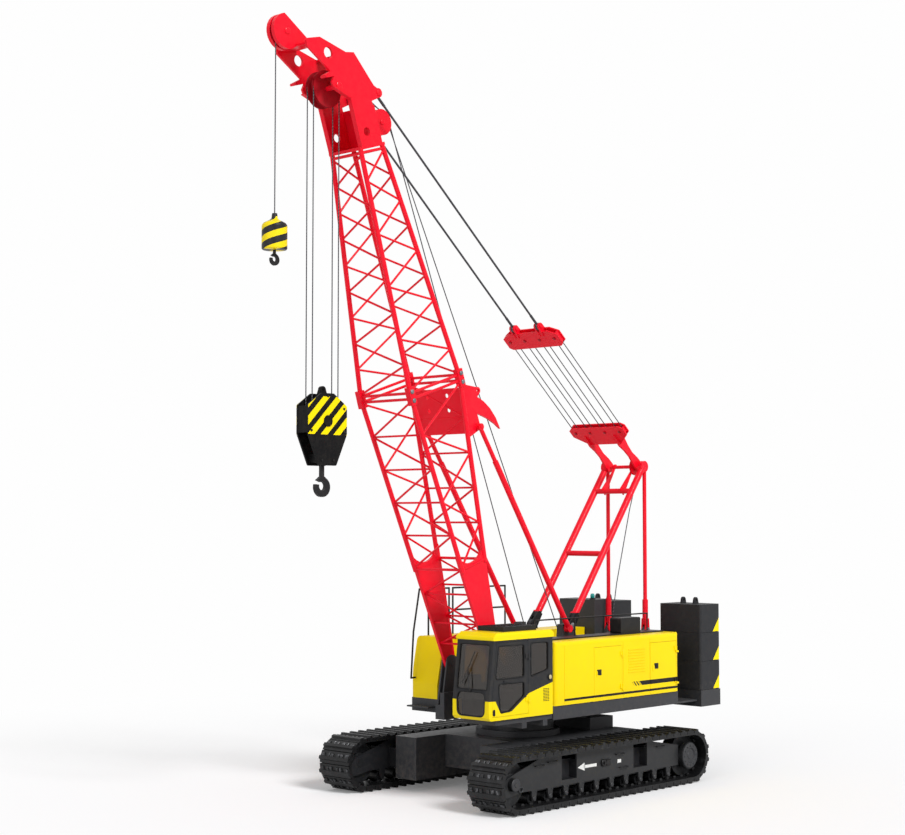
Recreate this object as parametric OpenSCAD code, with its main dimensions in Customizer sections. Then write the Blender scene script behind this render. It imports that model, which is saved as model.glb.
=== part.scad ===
// Crawler crane with a short lattice boom, millimetres.
// +X is forwards, +Y is the operator's left, +Z is up; the origin is on the ground under the slewing axis.

/* [Tracks] */
// Distance between the centre lines of the two tracks
track_gauge = 4220; // [3900:10:4800]
// Width of the track shoes
shoe_w = 880; // [760:10:960]
// Distance from the idler's axle to the drive wheel's axle
wheelbase = 5700; // [5400:10:6400]
// Radius of the track's pitch line round its end wheels
pitch_r = 480; // [460:5:540]
// Height of a shoe's plate above the pitch line
plate_h = 60; // [45:1:75]
// Height of a shoe's lug above its plate
lug_h = 40; // [25:1:60]
// Depth of the chain links inside the pitch line
link_depth = 30; // [20:1:45]
// Number of shoes on each track
shoe_count = 58; // [44:1:64]
// Number of lower rollers on each side
roller_count = 10; // [6:1:11]
// Radius of the lower rollers
roller_r = 110; // [90:1:125]
// Radius of the upper carrier rollers
carrier_r = 70; // [55:1:80]
// Distance between the inner faces of a side frame's two plates
frame_gap = 380; // [320:10:460]
// Thickness of a side frame's plates
frame_plate = 40; // [25:1:60]

/* [Carbody] */
// Length of the carbody's two side boxes
leg_len = 4400; // [3800:10:4600]
// Width of each side box
leg_w = 600; // [450:10:700]
// Gap from the outer face of a side box to the track shoes
leg_gap = 170; // [120:5:260]
// Height of the side boxes' underside above the ground
leg_z0 = 250; // [200:5:350]
// Height of the carbody's top
carbody_top = 1130; // [1050:10:1200]
// Height of the slewing ring's top
ring_top = 1440; // [1380:10:1500]
// Outer radius of the slewing ring
ring_r = 780; // [700:10:900]

/* [Upper frame] */
// Height of the deck's underside
deck_z = 1500; // [1480:10:1560]
// Height of the grey skirt round the deck
skirt_h = 360; // [300:10:420]
// Half of the deck's width
deck_half = 1700; // [1600:10:1800]
// Front end of the deck beside the cab
deck_front = 850; // [700:10:950]

/* [Cab] */
// Front of the cab ahead of the slewing axis
cab_front = 2830; // [2700:10:3000]
// Length of the cab
cab_len = 1930; // [1800:10:2050]
// Width of the cab
cab_w = 970; // [900:10:1000]
// Height of the cab
cab_h = 1710; // [1600:10:1800]
// Height of the cab's floor above the ground
cab_z = 1727; // [1700:1:1780]
// Lean of the windscreen at its top
cab_lean = 150; // [80:5:220]
// Thickness of the cab's walls and door
cab_wall = 50; // [35:1:70]

/* [Housings] */
// Height of the left housing's top
housing_top = 3170; // [3000:10:3300]
// Width of each housing
housing_w = 780; // [700:10:820]
// Front end of the left housing
housing_front = 830; // [700:10:840]
// Rear end of both housings behind the slewing axis
housing_rear = 3460; // [3300:10:3600]
// Thickness of a housing's panels
panel_t = 40; // [25:1:60]
// Length of each of the two side doors
side_door_len = 960; // [800:10:1000]

/* [Counterweight] */
// Front of the counterweight behind the slewing axis
weight_front = 4180; // [4100:10:4300]
// Length of the counterweight along the machine
weight_len = 750; // [650:10:850]
// Half of the counterweight's width
weight_half = 1820; // [1700:10:1900]
// Width of each stack of slabs
stack_w = 1140; // [950:10:1150]
// Height of one slab
slab_h = 640; // [560:5:680]
// Height of the tray that carries the slabs
tray_h = 360; // [300:5:400]

/* [Gantry] */
// Place of the gantry's feet behind the slewing axis
gantry_foot_x = 1105; // [1000:5:1250]
// Height of the gantry's feet
gantry_foot_z = 3357; // [3300:1:3450]
// Place of the gantry's top behind the slewing axis
gantry_top_x = 3776; // [3600:1:3850]
// Height of the gantry's top
gantry_top_z = 6883; // [6600:1:7100]
// Half of the distance between the gantry's two legs
gantry_half = 530; // [500:5:560]
// Diameter of the gantry's leg tubes
gantry_tube = 150; // [120:5:170]

/* [Boom] */
// Place of the boom's foot pin ahead of the slewing axis
foot_x = 1443; // [1400:1:1500]
// Height of the boom's foot pin
foot_z = 2657; // [2600:1:2750]
// Angle of the boom above the ground as stored
boom_angle = 72; // [70:0.5:74]
// Length from the foot pin to the joint between the two sections
joint_s = 5950; // [5800:10:6200]
// Length from the foot pin to the top of the lattice
lattice_s = 10820; // [10600:10:11000]
// Width between chord centres at the joint
joint_w = 1420; // [1350:10:1440]
// Depth between chord centres at the joint
joint_d = 1480; // [1350:10:1550]
// Width between chord centres at the top of the lattice
top_w = 810; // [780:5:840]
// Depth between chord centres at the top of the lattice
top_d = 610; // [560:5:660]
// Diameter of the chord tubes
chord_d = 100; // [80:2:120]
// Diameter of the lacing tubes
lace_d = 46; // [36:1:60]
// Half of the distance between the two boom feet
foot_half = 640; // [620:5:650]
// Radius of the foot pins
foot_pin_r = 60; // [50:1:70]

/* [Ropes] */
// Diameter of the hoist ropes
rope_d = 22; // [16:1:28]
// Diameter of the pendant ropes
pendant_d = 44; // [36:1:56]
// Height of the main block's top eye
block_top = 8230; // [7800:10:8600]
// Height of the rope socket on the auxiliary hook ball
ball_top = 11417; // [11000:1:11800]

/* [Hidden] */
$fn = 48;

// Gaps: a seat between pieces that turn on each other, and the play round something that swings
seat = 0.3;
play = 6;
bore_play = 0.5;
// Overlap that lets a cut run clear of a face
over = 1;

red = "#d8142c";
yellow = "#f2c500";
dark = "#3a3a3c";
black = "#1c1c1e";
steel = "#8a8c8e";

// Track loop
hub_z = pitch_r + plate_h + lug_h;
track_y = track_gauge / 2;
wheel_r = pitch_r - link_depth - seat;
loop_len = 2 * wheelbase + 2 * PI * pitch_r;
run_top = hub_z + pitch_r - link_depth;
run_bottom = hub_z - pitch_r + link_depth;
// One shoe along its pitch: share of the pitch, and height above the pitch line
shoe_profile = [[0.03, 0], [0.03, plate_h], [0.24, plate_h], [0.3, plate_h + lug_h],
    [0.52, plate_h + lug_h], [0.58, plate_h], [0.97, plate_h], [0.97, 0]];

// Side frame
plate_inner = frame_gap / 2;
plate_outer = plate_inner + frame_plate;
box_end = wheelbase / 2 - wheel_r - 90;
roller_z = run_bottom + roller_r + seat;
carrier_z = run_top - carrier_r - seat;
roller_span = 2 * box_end - 2 * roller_r;
carrier_span = 2 * box_end - 1400;
sole_z = roller_z + 160;
frame_top = run_top - 20;
function roller_x(i) = -roller_span / 2 + roller_span * i / (roller_count - 1);
axle_r = 85;
hub_r = 285;

// Carbody
leg_outer = track_y - shoe_w / 2 - leg_gap;
leg_inner = leg_outer - leg_w;
ring_base = carbody_top + 120;
centre_half = 1300;
box_gap = 40;

// Upper frame
backstop_half = 770;
floor_t = 40;
skirt_z0 = deck_z + 90;
deck_top = deck_z + skirt_h;
deck_rear = weight_front;
girder_y = gantry_half;
girder_t = 120;
cheek_t = 40;
foot_t = 70;

// Cab
cab_rear = cab_front - cab_len;
// The cab stands beside the boom's foot bracket
cab_inner = foot_half + foot_t / 2 + play + cheek_t + 39;
cab_outer_face = cab_inner + cab_w;
cab_top = cab_z + cab_h;
pillar = 90;
glass_t = 10;
// The door fills the front part of the left wall
door_rear = cab_rear + 760;
door_z0 = cab_z + 70;
door_z1 = cab_top - 190;
door_hinge_y = cab_outer_face + 18;
cab_hinges = [door_z0 + 250, door_z1 - 350];

// Housings
housing_inner = backstop_half + 180;
housing_outer = housing_inner + housing_w;
// The left housing keeps its gap behind the cab: housing_front holds with the cab's rear at usual_cab_rear
usual_cab_rear = 900;
left_front = housing_front + cab_rear - usual_cab_rear;
housing_z = deck_top + 10;
corner_r = 90;
right_front = 1500;
side_door_z0 = housing_z + 90;
side_door_z1 = housing_top - 180;
side_door_starts = [-450, -2400];
seam_places = [left_front - 305, -1445, -2395];
side_hinge_y = housing_outer + 18;
side_hinges = [side_door_z0 + 120, side_door_z1 - 220];

// Counterweight
tray_z = deck_z - 30;
slab_z = tray_z + tray_h;

// Gantry, boom and suspension points in the XZ plane
gantry_foot = [-gantry_foot_x, gantry_foot_z];
gantry_top = [-gantry_top_x, gantry_top_z];
gantry_slope = atan2(gantry_top_z - gantry_foot_z, gantry_foot_x - gantry_top_x);
gantry_pin_r = 45;
lug_t = 70;
link_x = -gantry_top_x - 60;
link_z = 3150;
link_top = gantry_top_z - 240;
link_pin_r = 35;
boom_foot = [foot_x, foot_z];
boom_tilt = 90 - boom_angle;
pendant_half = 400;
pendant_n = -490;
pendant_s = 11830;
main_n = 540;
main_s = 12100;
aux_n = 1224;
aux_s = 13300;
guide_n = -800;
guide_s = 11266;
backstop_n = -950;
backstop_s = 4850;
backstop_foot = [-790, 3330];
stop_pin_r = 35;
jib_hole = [630, 12752];
jib_hole_r = 110;

// World place in the XZ plane of a point n in front of the boom's axis and s along it
function on_boom(n, s) = boom_foot
    + s * [cos(boom_angle), sin(boom_angle)] + n * [sin(boom_angle), -cos(boom_angle)];

pendant_pin = on_boom(pendant_n, pendant_s);
main_axis = on_boom(main_n, main_s);
aux_axis = on_boom(aux_n, aux_s);
backstop_pin = on_boom(backstop_n, backstop_s);
stay = pendant_pin - gantry_top;
stay_len = norm(stay);
stay_angle = atan2(stay[1], stay[0]);
lower_bridle_t = 1190;
upper_bridle_t = 4240;
bridle_half = 770;
bridle_places = [-630, -210, 210, 630];
bridle_gap = 90;
bridle_plate = 25;
pendant_eye_t = upper_bridle_t + 330;
eye_pin_r = 40;
boss_r = 130;
// Inner face of the gantry's top bosses, beside the lower bridle's arms
gantry_cheek = gantry_half - gantry_tube / 2 - 10;

// Sheaves
main_sheave_r = 334;
shaft_r = 50;
aux_sheave_r = 200;
guide_sheave_r = 215;
guide_shaft_r = 35;
fall_y = 89;

// Lattice half sizes at a place s along the boom
function half_w(s) = s < joint_s ? foot_half + (joint_w / 2 - foot_half) * s / joint_s
    : joint_w / 2 + (top_w - joint_w) / 2 * (s - joint_s) / (lattice_s - joint_s);
function half_d(s) = s < joint_s ? 130 + (joint_d / 2 - 130) * s / joint_s
    : joint_d / 2 + (top_d - joint_d) / 2 * (s - joint_s) / (lattice_s - joint_s);
// Centre of a chord at s: side is 1 for left, front is 1 for the boom's front
function chord(side, front, s) = [front * half_d(s), side * half_w(s), s];

// Point of the track loop at path length s, lifted off the pitch line by o
function loop_at(s, o) = let (t = s % loop_len, end = PI * pitch_r, r = pitch_r + o)
    t < wheelbase ? [t - wheelbase / 2, -r]
    : t < wheelbase + end ? let (a = 180 * (t - wheelbase) / end - 90) [wheelbase / 2 + r * cos(a), r * sin(a)]
    : t < 2 * wheelbase + end ? [wheelbase / 2 - (t - wheelbase - end), r]
    : let (a = 180 * (t - 2 * wheelbase - end) / end + 90) [-wheelbase / 2 + r * cos(a), r * sin(a)];

// Points of an arc
function arc(c, r, a0, a1, n = 6) = [for (i = [0:n]) let (a = a0 + (a1 - a0) * i / n) c + r * [cos(a), sin(a)]];

// Corner b between a and c turned into an arc of radius r
function fillet(a, b, c, r, n) = let (
    u = (a - b) / norm(a - b), v = (c - b) / norm(c - b), half = acos(u * v) / 2,
    m = b + (u + v) / norm(u + v) * r / sin(half),
    p = b + u * r / tan(half) - m, q = b + v * r / tan(half) - m,
    a0 = atan2(p[1], p[0]), turn = atan2(q[1], q[0]) - a0,
    step = (turn > 180 ? turn - 360 : turn < -180 ? turn + 360 : turn) / n)
    [for (i = [0:n]) m + r * [cos(a0 + step * i), sin(a0 + step * i)]];

// A closed outline with every corner rounded
function rounded(p, r, n = 4) = [for (i = [0:len(p) - 1])
    each fillet(p[(i + len(p) - 1) % len(p)], p[i], p[(i + 1) % len(p)], r, n)];

// A rectangle between two corners
function box2(a, b) = [a, [b[0], a[1]], b, [a[0], b[1]]];

// A shape drawn in YZ, carried forwards from x0 to x1
module frontal(x0, x1) {
    translate([x0, 0, 0]) rotate([90, 0, 90]) linear_extrude(x1 - x0) children();
}

// A shape drawn in XZ, carried across from y0 to y1
module across(y0, y1) {
    translate([0, y1, 0]) rotate([90, 0, 0]) linear_extrude(y1 - y0) children();
}

// The same on both sides of the machine
module both() {
    children();
    mirror([0, 1, 0]) children();
}

// Turns +Z to run from p to q
module along(p, q) {
    v = q - p;
    translate(p) rotate([0, acos(v[2] / norm(v)), atan2(v[1], v[0])]) children();
}

module bar(p, q, d, sides = 8) {
    along(p, q) cylinder(d = d, h = norm(q - p), $fn = sides);
}

// A pin across the machine from y0 to y1 at a place in XZ
module cross_pin(at, r, y0, y1) {
    translate([at[0], y1, at[1]]) rotate([90, 0, 0]) cylinder(r = r, h = y1 - y0);
}

// A round plate with a groove for a rope in its rim
module sheave(at, r, y, bore = 30) {
    groove = r - rope_d / 2 - seat;
    translate([at[0], y, at[1]]) rotate([90, 0, 0]) rotate_extrude() polygon([
        [bore, -30], [bore + 60, -30], [bore + 60, -26], [r + 26, -26], [groove, -14], [groove, 14],
        [r + 26, 26], [bore + 60, 26], [bore + 60, 30], [bore, 30]]);
}

// The boom's own frame: X in front of the boom, Z along it from the foot pin
module boom_frame() {
    translate([foot_x, 0, foot_z]) rotate([0, boom_tilt, 0]) children();
}

// The stay's own frame: X along the stay from the gantry's top towards the boom's head
module stay_frame() {
    translate([gantry_top[0], 0, gantry_top[1]]) rotate([0, -stay_angle, 0]) children();
}

// Undercarriage

module carbody() {
    color(dark) {
        both() translate([0, 0, leg_z0]) linear_extrude(carbody_top - leg_z0)
            polygon(rounded(box2([-leg_len / 2, leg_inner], [leg_len / 2, leg_outer]), 25));
        translate([-centre_half, -leg_inner, 450]) cube([2 * centre_half, 2 * leg_inner, carbody_top - 450]);
        translate([0, 0, carbody_top]) cylinder(r = ring_r + 120, h = ring_base - carbody_top);
        translate([-leg_len / 2 + 60, -leg_inner, carbody_top - 400])
            cube([leg_len / 2 - 60 - centre_half - box_gap, 2 * leg_inner, ring_top - 60 - carbody_top + 400]);
    }
}

module slew_ring() {
    color(steel) translate([0, 0, ring_base]) difference() {
        cylinder(r = ring_r, h = ring_top - ring_base);
        translate([0, 0, -over]) cylinder(r = ring_r - 160, h = ring_top - ring_base + 2 * over);
    }
}

// Outline of a side frame's plate from its rear end: feet over the rollers and a slanted nose over the idler
function frame_outline(rear_end) = concat(rear_end,
    [for (i = [0:roller_count - 1], p = [[-85, sole_z], [-50, roller_z - 50], [50, roller_z - 50], [85, sole_z]])
        [roller_x(i) + p[0], p[1]]],
    [[wheelbase / 2 - 250, sole_z], [wheelbase / 2 + 80, hub_z - 240], [wheelbase / 2 + 350, hub_z - 240],
     [wheelbase / 2 + 350, hub_z - 100], [wheelbase / 2 + 150, hub_z + 124], [box_end - 330, frame_top],
     [-box_end + 800, frame_top]]);

module side_frame() {
    window = [470, 480];
    rear = -wheelbase / 2 + hub_r + 5;
    color(dark) difference() {
        union() {
            // centre box and its seat on the carbody
            translate([-box_end, track_y - plate_inner, roller_z + roller_r + 20])
                cube([2 * box_end, frame_gap, carrier_z - carrier_r - 40 - roller_z - roller_r]);
            translate([-leg_len / 2 + 200, leg_outer, 430])
                cube([leg_len - 400, track_y - plate_inner - leg_outer, 400]);
            // the outer plate stops at the drive wheel's hub, the inner one carries its axle
            across(track_y + plate_inner, track_y + plate_outer)
                polygon(frame_outline([[rear, hub_z + 245], [rear, sole_z]]));
            across(track_y - plate_outer, track_y - plate_inner)
                polygon(frame_outline(concat([[-box_end - 60, hub_z + 245]],
                    arc([-wheelbase / 2, hub_z], 190, 100, 260), [[-box_end - 60, sole_z]])));
        }
        for (x = [1124, -1216])
            translate([x - window[0] / 2, track_y + plate_inner - 160, 500]) cube([window[0], 400, window[1]]);
        for (x = [-1, 1])
            cross_pin([x * wheelbase / 2, hub_z], axle_r + bore_play, track_y - plate_outer - over, track_y + plate_outer + over);
    }
}

module side_frame_left() { side_frame(); }
module side_frame_right() { mirror([0, 1, 0]) side_frame(); }

module track() {
    shoe_pitch = loop_len / shoe_count;
    color(black) translate([0, 0, hub_z]) across(track_y - shoe_w / 2, track_y + shoe_w / 2) difference() {
        polygon([for (i = [0:shoe_count - 1], p = shoe_profile) loop_at((i + p[0]) * shoe_pitch, p[1])]);
        polygon(concat(
            arc([wheelbase / 2, 0], pitch_r - link_depth, -90, 90, 16),
            arc([-wheelbase / 2, 0], pitch_r - link_depth, 90, 270, 16)));
    }
}

module track_left() { track(); }
module track_right() { mirror([0, 1, 0]) track(); }

// An end wheel on its axle, between the side frame's plates
module end_wheel(x, hub) {
    at = [x, hub_z];
    cross_pin(at, wheel_r * cos(180 / 32), track_y - 130, track_y + 130);
    cross_pin(at, 210, track_y - plate_inner + seat, track_y + plate_inner - seat);
    cross_pin(at, axle_r, track_y - plate_outer - 10, track_y + plate_outer + 10);
    cross_pin(at, hub, track_y + plate_outer + seat, track_y + plate_outer + 90);
}

module sprockets() { color(steel) both() end_wheel(-wheelbase / 2, hub_r); }
module idlers() { color(steel) both() end_wheel(wheelbase / 2, 130); }

module rollers() {
    color(steel) both() {
        for (i = [0:roller_count - 1]) {
            at = [roller_x(i), roller_z];
            cross_pin(at, roller_r, track_y - 150, track_y + 150);
            cross_pin(at, 45, track_y - plate_inner, track_y + plate_inner);
        }
        for (i = [-1:1]) {
            at = [i * carrier_span / 2, carrier_z];
            cross_pin(at, carrier_r, track_y - 130, track_y + 130);
            cross_pin(at, 35, track_y - plate_inner, track_y + plate_inner);
        }
    }
}

// Upper works

module revolving_frame() {
    color(dark) difference() {
        union() {
            translate([0, 0, ring_top + seat]) cylinder(r = ring_r + 60, h = deck_z + floor_t - ring_top - seat);
            // floor and skirt
            translate([-deck_rear, -girder_y, deck_z]) cube([deck_rear + deck_front, 2 * girder_y, floor_t]);
            both() translate([-deck_rear, girder_y, skirt_z0]) cube([deck_rear + deck_front, deck_half - girder_y, floor_t]);
            both() translate([-housing_rear, deck_half - floor_t, skirt_z0])
                cube([housing_rear + deck_front, floor_t, deck_top - skirt_z0]);
            both() translate([-housing_rear, housing_inner, deck_top - floor_t + 10])
                cube([housing_rear + deck_front, deck_half - housing_inner, floor_t]);
            both() for (x = [-housing_rear, -1800, 0, deck_front - floor_t])
                translate([x, girder_y, skirt_z0]) cube([floor_t, deck_half - girder_y, deck_top - 20 - skirt_z0]);
            // main girders with the boom's foot brackets
            both() translate([-deck_rear, girder_y - girder_t / 2, deck_z]) cube([deck_rear + foot_x + 350, girder_t, 560]);
            for (y = [-1, 1], w = [-foot_t / 2 - play - cheek_t, foot_t / 2 + play])
                across(y * foot_half + w, y * foot_half + w + cheek_t) polygon(concat(
                    [[foot_x - 900, deck_z + floor_t], [foot_x + 350, deck_z + floor_t]],
                    arc(boom_foot, 170, 0, 140)));
            both() translate([foot_x - 900, girder_y - girder_t / 2, deck_z])
                cube([1250, foot_half + foot_t / 2 + play + cheek_t - girder_y + girder_t / 2, 300]);
            // cross beams
            for (x = [-deck_rear, -2180, -980, foot_x - 900])
                translate([x, -girder_y, deck_z]) cube([160, 2 * girder_y, 420]);
            // gantry feet, rear link posts and backstop seats
            both() across(girder_y - lug_t / 2, girder_y + lug_t / 2) {
                polygon(concat([[-gantry_foot_x - 600, deck_z + 500], [-gantry_foot_x + 600, deck_z + 500]],
                    arc(gantry_foot, 110, 20, 160)));
                polygon(concat([[-deck_rear, deck_z + 500], [link_x + 400, deck_z + 500]],
                    arc([link_x, link_z], 90, 20, 160)));
            }
            both() cross_pin(gantry_foot, gantry_pin_r, girder_y - 85, girder_y + 85);
            both() cross_pin([link_x, link_z], link_pin_r, girder_y - 75, girder_y + 75);
            both() across(girder_y, backstop_half - 75) polygon([
                [backstop_foot[0] - 250, deck_z + 500], [backstop_foot[0] + 250, deck_z + 500],
                [backstop_foot[0] + 100, backstop_foot[1] + 90], [backstop_foot[0] - 100, backstop_foot[1] + 90]]);
            // base of the right housing's front and bearers under the cab
            translate([deck_front - floor_t, -deck_half, skirt_z0])
                cube([right_front - deck_front + floor_t, deck_half - housing_inner, housing_z - skirt_z0]);
            translate([right_front, -deck_half + 60, skirt_z0 + 100]) cube([220, deck_half - housing_inner - 120, 30]);
            translate([deck_front + seat, cab_inner + 60, cab_z - 107])
                cube([cab_front - 250 - deck_front, cab_w - 120, 107]);
            for (x = [cab_rear + 100, foot_x + 200])
                translate([x, girder_y, deck_z]) cube([140, cab_outer_face - 60 - girder_y, cab_z - deck_z]);
            both() cross_pin(boom_foot, foot_pin_r, foot_half - foot_t / 2 - play - cheek_t - 20,
                foot_half + foot_t / 2 + play + cheek_t + 10);
        }
        translate([0, 0, ring_top - over]) cylinder(r = 250, h = 2 * floor_t + 100);
        // welded-on side decks and cab bearers, each set against the main frame
        frame_y = girder_y + girder_t / 2;
        bracket_y = foot_half + foot_t / 2 + play + cheek_t + 9;
        bracket_x = foot_x - 920;
        both() translate([0, 0, skirt_z0 - over]) linear_extrude(deck_top - skirt_z0 + 20) polygon([
            [-deck_rear - over, frame_y], [bracket_x, frame_y], [bracket_x, bracket_y], [deck_front + over, bracket_y],
            [deck_front + over, bracket_y + seat], [bracket_x - seat, bracket_y + seat],
            [bracket_x - seat, frame_y + seat], [-deck_rear - over, frame_y + seat]]);
        translate([deck_front + over, bracket_y, deck_z - over]) cube([cab_len + 100, seat, skirt_h]);
    }
}

// Side outline of the cab, moved inwards by t
function cab_outline(t) = [
    [cab_rear + t, cab_z + t], [cab_front - 50 - t, cab_z + t], [cab_front + 10 - t, cab_z + 60 + t],
    [cab_front + 10 - t, cab_z + 400], [cab_front + 10 - cab_lean - t, cab_top - 150],
    [cab_front - 70 - cab_lean - t, cab_top - t], [cab_rear + 40 + t, cab_top - t], [cab_rear + t, cab_top - 40 - t]];

// Outline of the cab's door, drawn in by g
function door_outline(g) = [
    [door_rear + g, door_z0 + g], [cab_front - 100 - g, door_z0 + g], [cab_front - 85 - g, cab_z + 400],
    [cab_front - cab_lean - 75 - g, door_z1 - g], [door_rear + g, door_z1 - g]];

// A fixed knuckle under a hinge barrel, with its leaf on the wall behind the hinge line
module knuckle(x, wall, z) {
    translate([x, wall + 18, z - seat - 40]) {
        cylinder(r = 16, h = 40);
        translate([-80, -18, 0]) cube([80, 18, 40]);
    }
}

// Window openings: two-pane windscreen, rear pane, right pane and the quarter pane behind the door
module cab_openings() {
    ya = cab_inner;
    yb = cab_outer_face;
    frontal(cab_front - cab_lean - 150, cab_front + 60) {
        polygon(rounded(box2([ya + 80, cab_z + 600], [yb - 80, cab_top - 230]), 45));
        polygon(rounded([[ya + 130, cab_z + 80], [yb - 130, cab_z + 80], [yb - 105, cab_z + 550], [ya + 105, cab_z + 550]], 110));
    }
    frontal(cab_rear - 50, cab_rear + 100)
        polygon(rounded(box2([ya + 90, cab_z + 720], [yb - 90, cab_top - 240]), 45));
    across(ya - 50, ya + 100) polygon(rounded([[cab_rear + 100, cab_z + 650], [cab_front - 250, cab_z + 650],
        [cab_front - 330, cab_top - 240], [cab_rear + 100, cab_top - 240]], 60));
    across(yb - 100, yb + 50) polygon(rounded([[cab_rear + 142, cab_z + 909], [cab_rear + 679, cab_z + 791],
        [cab_rear + 679, cab_top - 245], [cab_rear + 142, cab_top - 245]], 45));
}

module cab_shell() {
    color(yellow) for (z = cab_hinges) knuckle(door_rear + play, cab_outer_face, z);
    color(yellow) difference() {
        union() {
            across(cab_inner, cab_outer_face) polygon(rounded(cab_outline(0), 20, 3));
            // roof cap with its rim
            intersection() {
                across(cab_inner - 10, cab_outer_face + 22) polygon(rounded([
                    [cab_rear - 20, cab_top - 150], [cab_front - cab_lean + 50, cab_top - 150],
                    [cab_front - cab_lean + 45, cab_top - 80], [cab_front - cab_lean - 80, cab_top],
                    [cab_rear + 60, cab_top], [cab_rear - 20, cab_top - 70]], 25, 3));
                frontal(cab_rear - 100, cab_front + 100) polygon(concat(
                    [[cab_inner - 10, cab_top - 200], [cab_outer_face + 22, cab_top - 200]],
                    arc([cab_outer_face - 48, cab_top - 70], 70, 0, 90), arc([cab_inner + 60, cab_top - 70], 70, 90, 180)));
            }
        }
        across(cab_inner + cab_wall, cab_outer_face - cab_wall) polygon(cab_outline(cab_wall));
        cab_openings();
        across(cab_outer_face - cab_wall - over, cab_outer_face + over) polygon(door_outline(0));
        // joints between the panels: two side walls, floor, roof, front and rear
        for (y = [cab_inner + cab_wall - seat, cab_outer_face - cab_wall])
            translate([cab_rear - 100, y, cab_z - over]) cube([cab_len + 300, seat, cab_h + 100]);
        for (z = [cab_z + cab_wall, cab_top - cab_wall - seat])
            translate([cab_rear - 100, cab_inner, z]) cube([cab_len + 300, cab_w, seat]);
        // the door side is four panels: rear panel, roof rail, front post and sill
        translate([door_rear - seat, cab_outer_face - cab_wall, cab_z]) cube([seat, cab_wall + 60, cab_h + 60]);
        for (z = [door_z0 - seat, door_z1])
            translate([door_rear - seat, cab_outer_face - cab_wall, z]) cube([cab_len, cab_wall + 60, seat]);
    }
}

module cab_glass() {
    color("#5a6a70", 0.6) intersection() {
        difference() {
            across(cab_inner + 15, cab_outer_face - 15) polygon(cab_outline(15));
            across(cab_inner + 15 + glass_t, cab_outer_face - 15 - glass_t) polygon(cab_outline(15 + glass_t));
        }
        cab_openings();
    }
}

module cab_seat() {
    color(black) {
        x = cab_rear + 450;
        y = cab_inner + cab_w / 2;
        floor_z = cab_z + cab_wall;
        translate([x, y - 180, floor_z]) cube([420, 360, 300]);
        translate([x - 40, y - 240, floor_z + 300]) cube([520, 480, 140]);
        translate([x - 120, y - 230, floor_z + 330]) cube([130, 460, 640]);
        translate([x - 110, y - 150, floor_z + 970]) cube([100, 300, 180]);
        for (side = [-1, 1])
            translate([x + 60, y + side * 330 - 80, floor_z]) cube([420, 160, 560]);
        translate([cab_front - 520, cab_inner + cab_wall, floor_z]) cube([250, 240, 800]);
    }
}

module cab_roof_hatch() {
    color(black) translate([cab_rear + 350, cab_inner + 140, cab_top]) {
        cube([1000, cab_w - 280, 40]);
        for (i = [0:5]) translate([40 + i * 184, 0, 40]) cube([30, cab_w - 280, 60]);
        for (y = [0, cab_w - 310]) translate([0, y, 40]) cube([1000, 30, 60]);
    }
}

module cab_door() {
    color(dark) {
        difference() {
            across(cab_outer_face - cab_wall, cab_outer_face) polygon(door_outline(play));
            cab_door_openings();
        }
        // hinge barrels on the rear edge and the handle
        for (z = cab_hinges)
            translate([door_rear + play, door_hinge_y, z]) {
                cylinder(r = 16, h = 100);
                translate([0, -30, 0]) cube([90, 30, 100]);
            }
        translate([cab_front - 570, cab_outer_face, cab_z + 735]) cube([150, 25, 36]);
    }
}

// Upper pane, and the lower pane with its slanted rear corner
module cab_door_openings() {
    across(cab_outer_face - cab_wall - over, cab_outer_face + over) {
        polygon(rounded([[door_rear + 124, cab_z + 804], [cab_front - 190, cab_z + 804],
            [cab_front - cab_lean - 128, cab_top - 260], [door_rear + 124, cab_top - 260]], 45));
        polygon(rounded([[door_rear + 124, cab_z + 433], [cab_rear + 1321, cab_z + 157], [cab_front - 325, cab_z + 143],
            [cab_front - 270, cab_z + 705], [door_rear + 124, cab_z + 705]], 45));
    }
}

module cab_door_glass() {
    color("#5a6a70", 0.6) intersection() {
        translate([door_rear, cab_outer_face - cab_wall / 2, door_z0]) cube([cab_front - door_rear, glass_t, cab_h]);
        cab_door_openings();
    }
}

// A housing between two ends: rounded along its top outer edge and at its upright outer corners
module housing_body(front, inset) {
    r = corner_r - inset;
    y1 = housing_outer - inset;
    z1 = housing_top - inset;
    x0 = -housing_rear + inset;
    x1 = front - inset;
    intersection() {
        translate([x1, 0, 0]) rotate([90, 0, -90]) linear_extrude(x1 - x0) mirror([1, 0]) polygon(concat(
            [[housing_inner + inset, housing_z + inset], [y1, housing_z + inset]],
            arc([y1 - r, z1 - r], r, 0, 90), [[housing_inner + inset, z1]]));
        translate([0, 0, housing_z]) linear_extrude(housing_top) polygon(concat(
            [[x0, housing_inner]], [[x1, housing_inner]],
            arc([x1 - r, y1 - r], r, 0, 90), arc([x0 + r, y1 - r], r, 90, 180)));
    }
}

module side_door_opening(start, gap) {
    translate([start - side_door_len + gap, housing_outer - panel_t - over, side_door_z0 + gap])
        cube([side_door_len - 2 * gap, panel_t + 2 * over, side_door_z1 - side_door_z0 - 2 * gap]);
}

module left_housing() {
    color(yellow) for (start = side_door_starts, z = side_hinges)
        knuckle(start - side_door_len + play, housing_outer, z);
    color(yellow) difference() {
        housing_body(left_front, 0);
        housing_body(left_front, panel_t);
        for (start = side_door_starts) side_door_opening(start, 0);
        // seams between the fixed panels
        for (x = seam_places)
            translate([x - 4, housing_outer - 8, housing_z + 20]) cube([8, 20, housing_top - housing_z - 120]);
    }
}

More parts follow.
